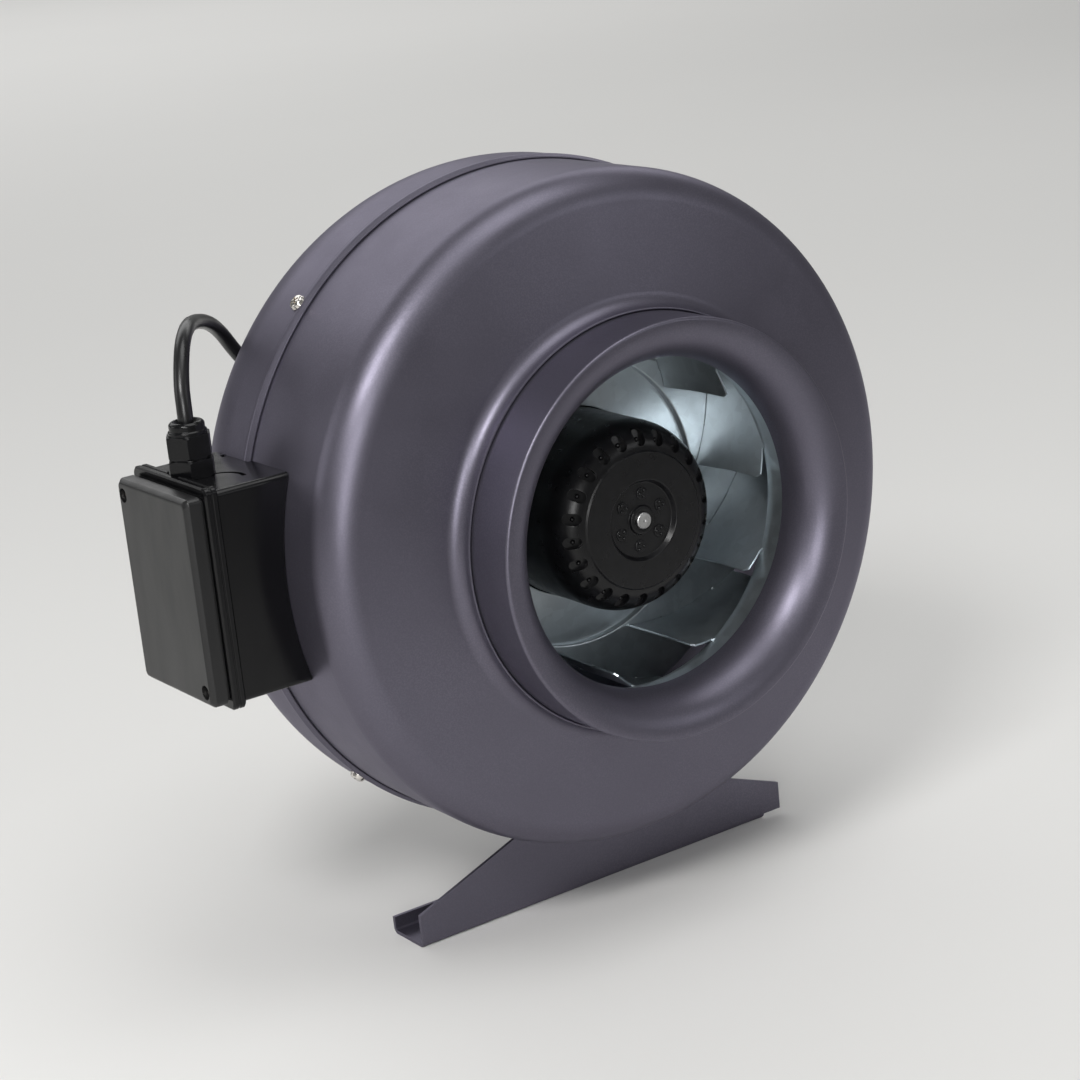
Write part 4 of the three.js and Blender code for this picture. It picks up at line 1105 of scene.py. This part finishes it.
def plate_slot(start, low, high):
    """The cutter for the slot that a blade's tab goes through."""
    gap, steps = 1.5, 3
    radii = [low - 0.5 + (high - low + 1) * i / steps for i in range(steps + 1)]
    side = [(r, blade_angle(r) + start) for r in radii]
    points = [polar(a + math.degrees(gap / r), r, 0) for r, a in side]
    points += [polar(a - math.degrees(gap / r), r, 0) for r, a in reversed(side)]
    return extrude("slot", [(x, z) for x, _, z in points], PLATE_Y - 2, PLATE_Y + 3)


def shroud():
    half = THIN_SHEET / 2
    centre = (SHROUD_R + SHROUD_BEND, SHROUD_BEND_Y)
    line = [(SHROUD_R + half, 21 + half)] + arc(centre, SHROUD_BEND - half, 180, 180 - SHROUD_TURN, 12)
    end_r, end_y = line[-1]
    reach = IMPELLER_R - half - end_r
    line.append((end_r + reach, end_y + reach / math.tan(math.radians(SHROUD_TURN))))
    ring = lathe("impeller_front_ring", sheet_outline(line, THIN_SHEET))
    dress(ring, "rotor", "galvanised_steel", "impeller_shroud")


def rivets():
    line = rounded([(0.6, 1.7), (3.0, 1.5, 1.2), (4, 0.2, 0.2), (2, 0)], 4)
    line = [(0, 1.7), *line, (2, -2.6), (0, -2.6)]
    for i, angle in enumerate(RIVET_ANGLES):
        rivet = solid_of_turning(f"hub_rivet_{i + 1}_steel", line, 32)
        aim(rivet, polar(angle, RIVET_RING_R, ROTOR_BACK + 0.1), (0, 1, 0))
        dress(rivet, "rotor", "nickel_steel", f"hub_rivet_{i + 1}")


rotor_can()
shaft()
back_plate()
for number in range(BLADES):
    blade(number)
shroud()
rivets()


# ---- motor, as far as it is seen from behind

SUPPORT_Y = 105.3
SUPPORT_SHEET = 2
STATOR_FLANGE_Y = 99
HUB_SCREW_R = 30
WIRE_HOLE_X = -20
WIRE_HOLE_Z = 20


def wire_hole(y, start, end):
    """The cutter for the hole that the lead comes through."""
    return aim(rod("hole", 5.6, start, end, 40), (WIRE_HOLE_X, y, WIRE_HOLE_Z), (0, 1, 0))


def motor_support():
    half, arm_half = SUPPORT_SHEET / 2, 10
    foot_r = math.sqrt((DRUM_R - SHEET) ** 2 - arm_half ** 2) - 0.9
    back = SUPPORT_Y + SUPPORT_SHEET
    centre = Matrix.Translation(place((0, 0, 0)))
    arms = []
    for angle in CASE_SCREW_ANGLES:
        line = rounded([(36, SUPPORT_Y + half), (foot_r - half, SUPPORT_Y + half, 3),
                        (foot_r - half, SHELL_END_Y)])
        strip = extrude("arm", sheet_outline(line, SUPPORT_SHEET), -arm_half, arm_half, "z")
        ribs = [block("rib", (40, foot_r - 4), (SUPPORT_Y + 0.5, back + 5), (z, z + SUPPORT_SHEET))
                for z in (-arm_half, arm_half - SUPPORT_SHEET)]
        arm = join("arm", *[soften(part, 0.5) for part in (strip, *ribs)])
        spin = Matrix.Rotation(math.radians(-angle), 4, "Y")
        arm.data.transform(centre @ spin @ centre.inverted())
        arms.append(arm)
    hub = lathe("hub", closed_round([(12, SUPPORT_Y), (41, SUPPORT_Y, 0.4), (41, back, 0.4), (12, back)]), 96)
    cut(hub, wire_hole(SUPPORT_Y, -4, 6))
    dress(join("motor_spider", hub, *arms), "casing", "galvanised_steel", "motor_support")
    for i in range(4):
        screw = pan_head(f"support_screw_{i + 1}_steel", 3.8, 2.8, 1.9, 7)
        aim(screw, polar(90 * i, HUB_SCREW_R, back + 0.1), (0, 1, 0))
        dress(screw, "casing", "nickel_steel", f"support_screw_{i + 1}")


def stator_flange():
    seat, tube = 11.15, 14
    outline = closed_round([
        (seat, 49), (tube, 49, 0.5), (tube, STATOR_FLANGE_Y - 1, 1.5), (38, STATOR_FLANGE_Y, 0.5),
        (42, STATOR_FLANGE_Y, 0.8), (42, SUPPORT_Y - 0.3, 0.5), (seat, SUPPORT_Y - 0.3, 0.4),
        (seat, 93.8), (9.6, 93.8), (9.6, 57.2), (seat, 57.2)])
    flange = cut(lathe("stator_end_casting", outline, 96), wire_hole(STATOR_FLANGE_Y, -8, 8))
    dress(flange, "casing", "cast_aluminium", "stator_flange")


motor_support()
stator_flange()


# ---- carried-over CAD pieces

def dress_carried_over():
    slots = {part["node"]: part["material_slot"] for part in frame["record"]["subparts"]}
    for name, node in frame["nodes"].items():
        if not node.hide_render:
            node.data.materials.clear()
            node.data.materials.append(MATERIALS[slots[name]])


dress_carried_over()


# ---- floor and light

FLOOR_TONE = tone(0.72, 0.715, 0.7)
FLOOR_AHEAD = (0.1, -0.99, 0)  # the way in which painted shade darkens the floor, in front of the fan
FLOOR_PAINTED_SHADE = (0.36, 0.85)    # metres that way: where the painted shade starts and where it is full


def floor():
    size = 40
    mesh = bpy.data.meshes.new("floor")
    mesh.from_pydata([(-size, -size, 0), (size, -size, 0), (size, size, 0), (-size, size, 0)], [],
                     [(0, 1, 2, 3)])
    plane = add_object("floor", mesh)
    nodes = Nodes("studio_floor")
    colour = nodes.mix(nodes.span(nodes.noise(900, 3), 0, 1), shade(FLOOR_TONE, 0.985), FLOOR_TONE)
    # Painted shade: the floor darkens to a quarter of its tone in front of the fan, in place of the dark room
    # there that the coat's front faces mirror.
    painted_shade = nodes.span(nodes.dot(nodes.place, FLOOR_AHEAD), 0, 1, *FLOOR_PAINTED_SHADE)
    colour = nodes.mix(painted_shade, colour, shade(FLOOR_TONE, 0.25))
    mesh.materials.append(nodes.finish(colour, 0.75, 0.0))


def softbox(name, place_m, target, size, power, colour=(1, 1, 1)):
    data = bpy.data.lights.new(name, "AREA")
    data.shape = "RECTANGLE"
    data.size, data.size_y = size
    data.energy = power
    data.color = colour
    lamp = add_object(name, data)
    lamp.location = place_m
    lamp.rotation_euler = (Vector(target) - Vector(place_m)).to_track_quat("-Z", "Y").to_euler()


def lights():
    centre = (0, 0, 0.2)
    softbox("top", (0.3, -0.5, 2.4), (0.1, 0.1, 0), (1.5, 1.5), 19)
    softbox("key", (-1.5, -1.0, 1.8), centre, (0.7, 0.6), 32, (1, 0.995, 0.99))
    softbox("front", (1.5, -2.1, 1.1), centre, (1.1, 0.9), 5, (0.97, 0.98, 1))
    softbox("right", (2.2, 1.4, 1.8), (0.6, 0.6, 0), (1.2, 1.2), 5)
    softbox("low", (-1.7, -2.1, 0.75), centre, (0.9, 0.8), 26)
    softbox("left", (-1.9, 1.3, 0.9), centre, (1.0, 1.0), 5)
    softbox("far", (1.5, 6.0, 3.6), (1.5, 6.0, 0), (7, 7), 225)
    world = bpy.data.worlds.new("studio")
    world.use_nodes = True
    background = world.node_tree.nodes["Background"]
    background.inputs["Color"].default_value = (0.94, 0.95, 0.94, 1)
    background.inputs["Strength"].default_value = 0.2
    bpy.context.scene.world = world
    bpy.context.scene.view_settings.view_transform = "Standard"


floor()
lights()
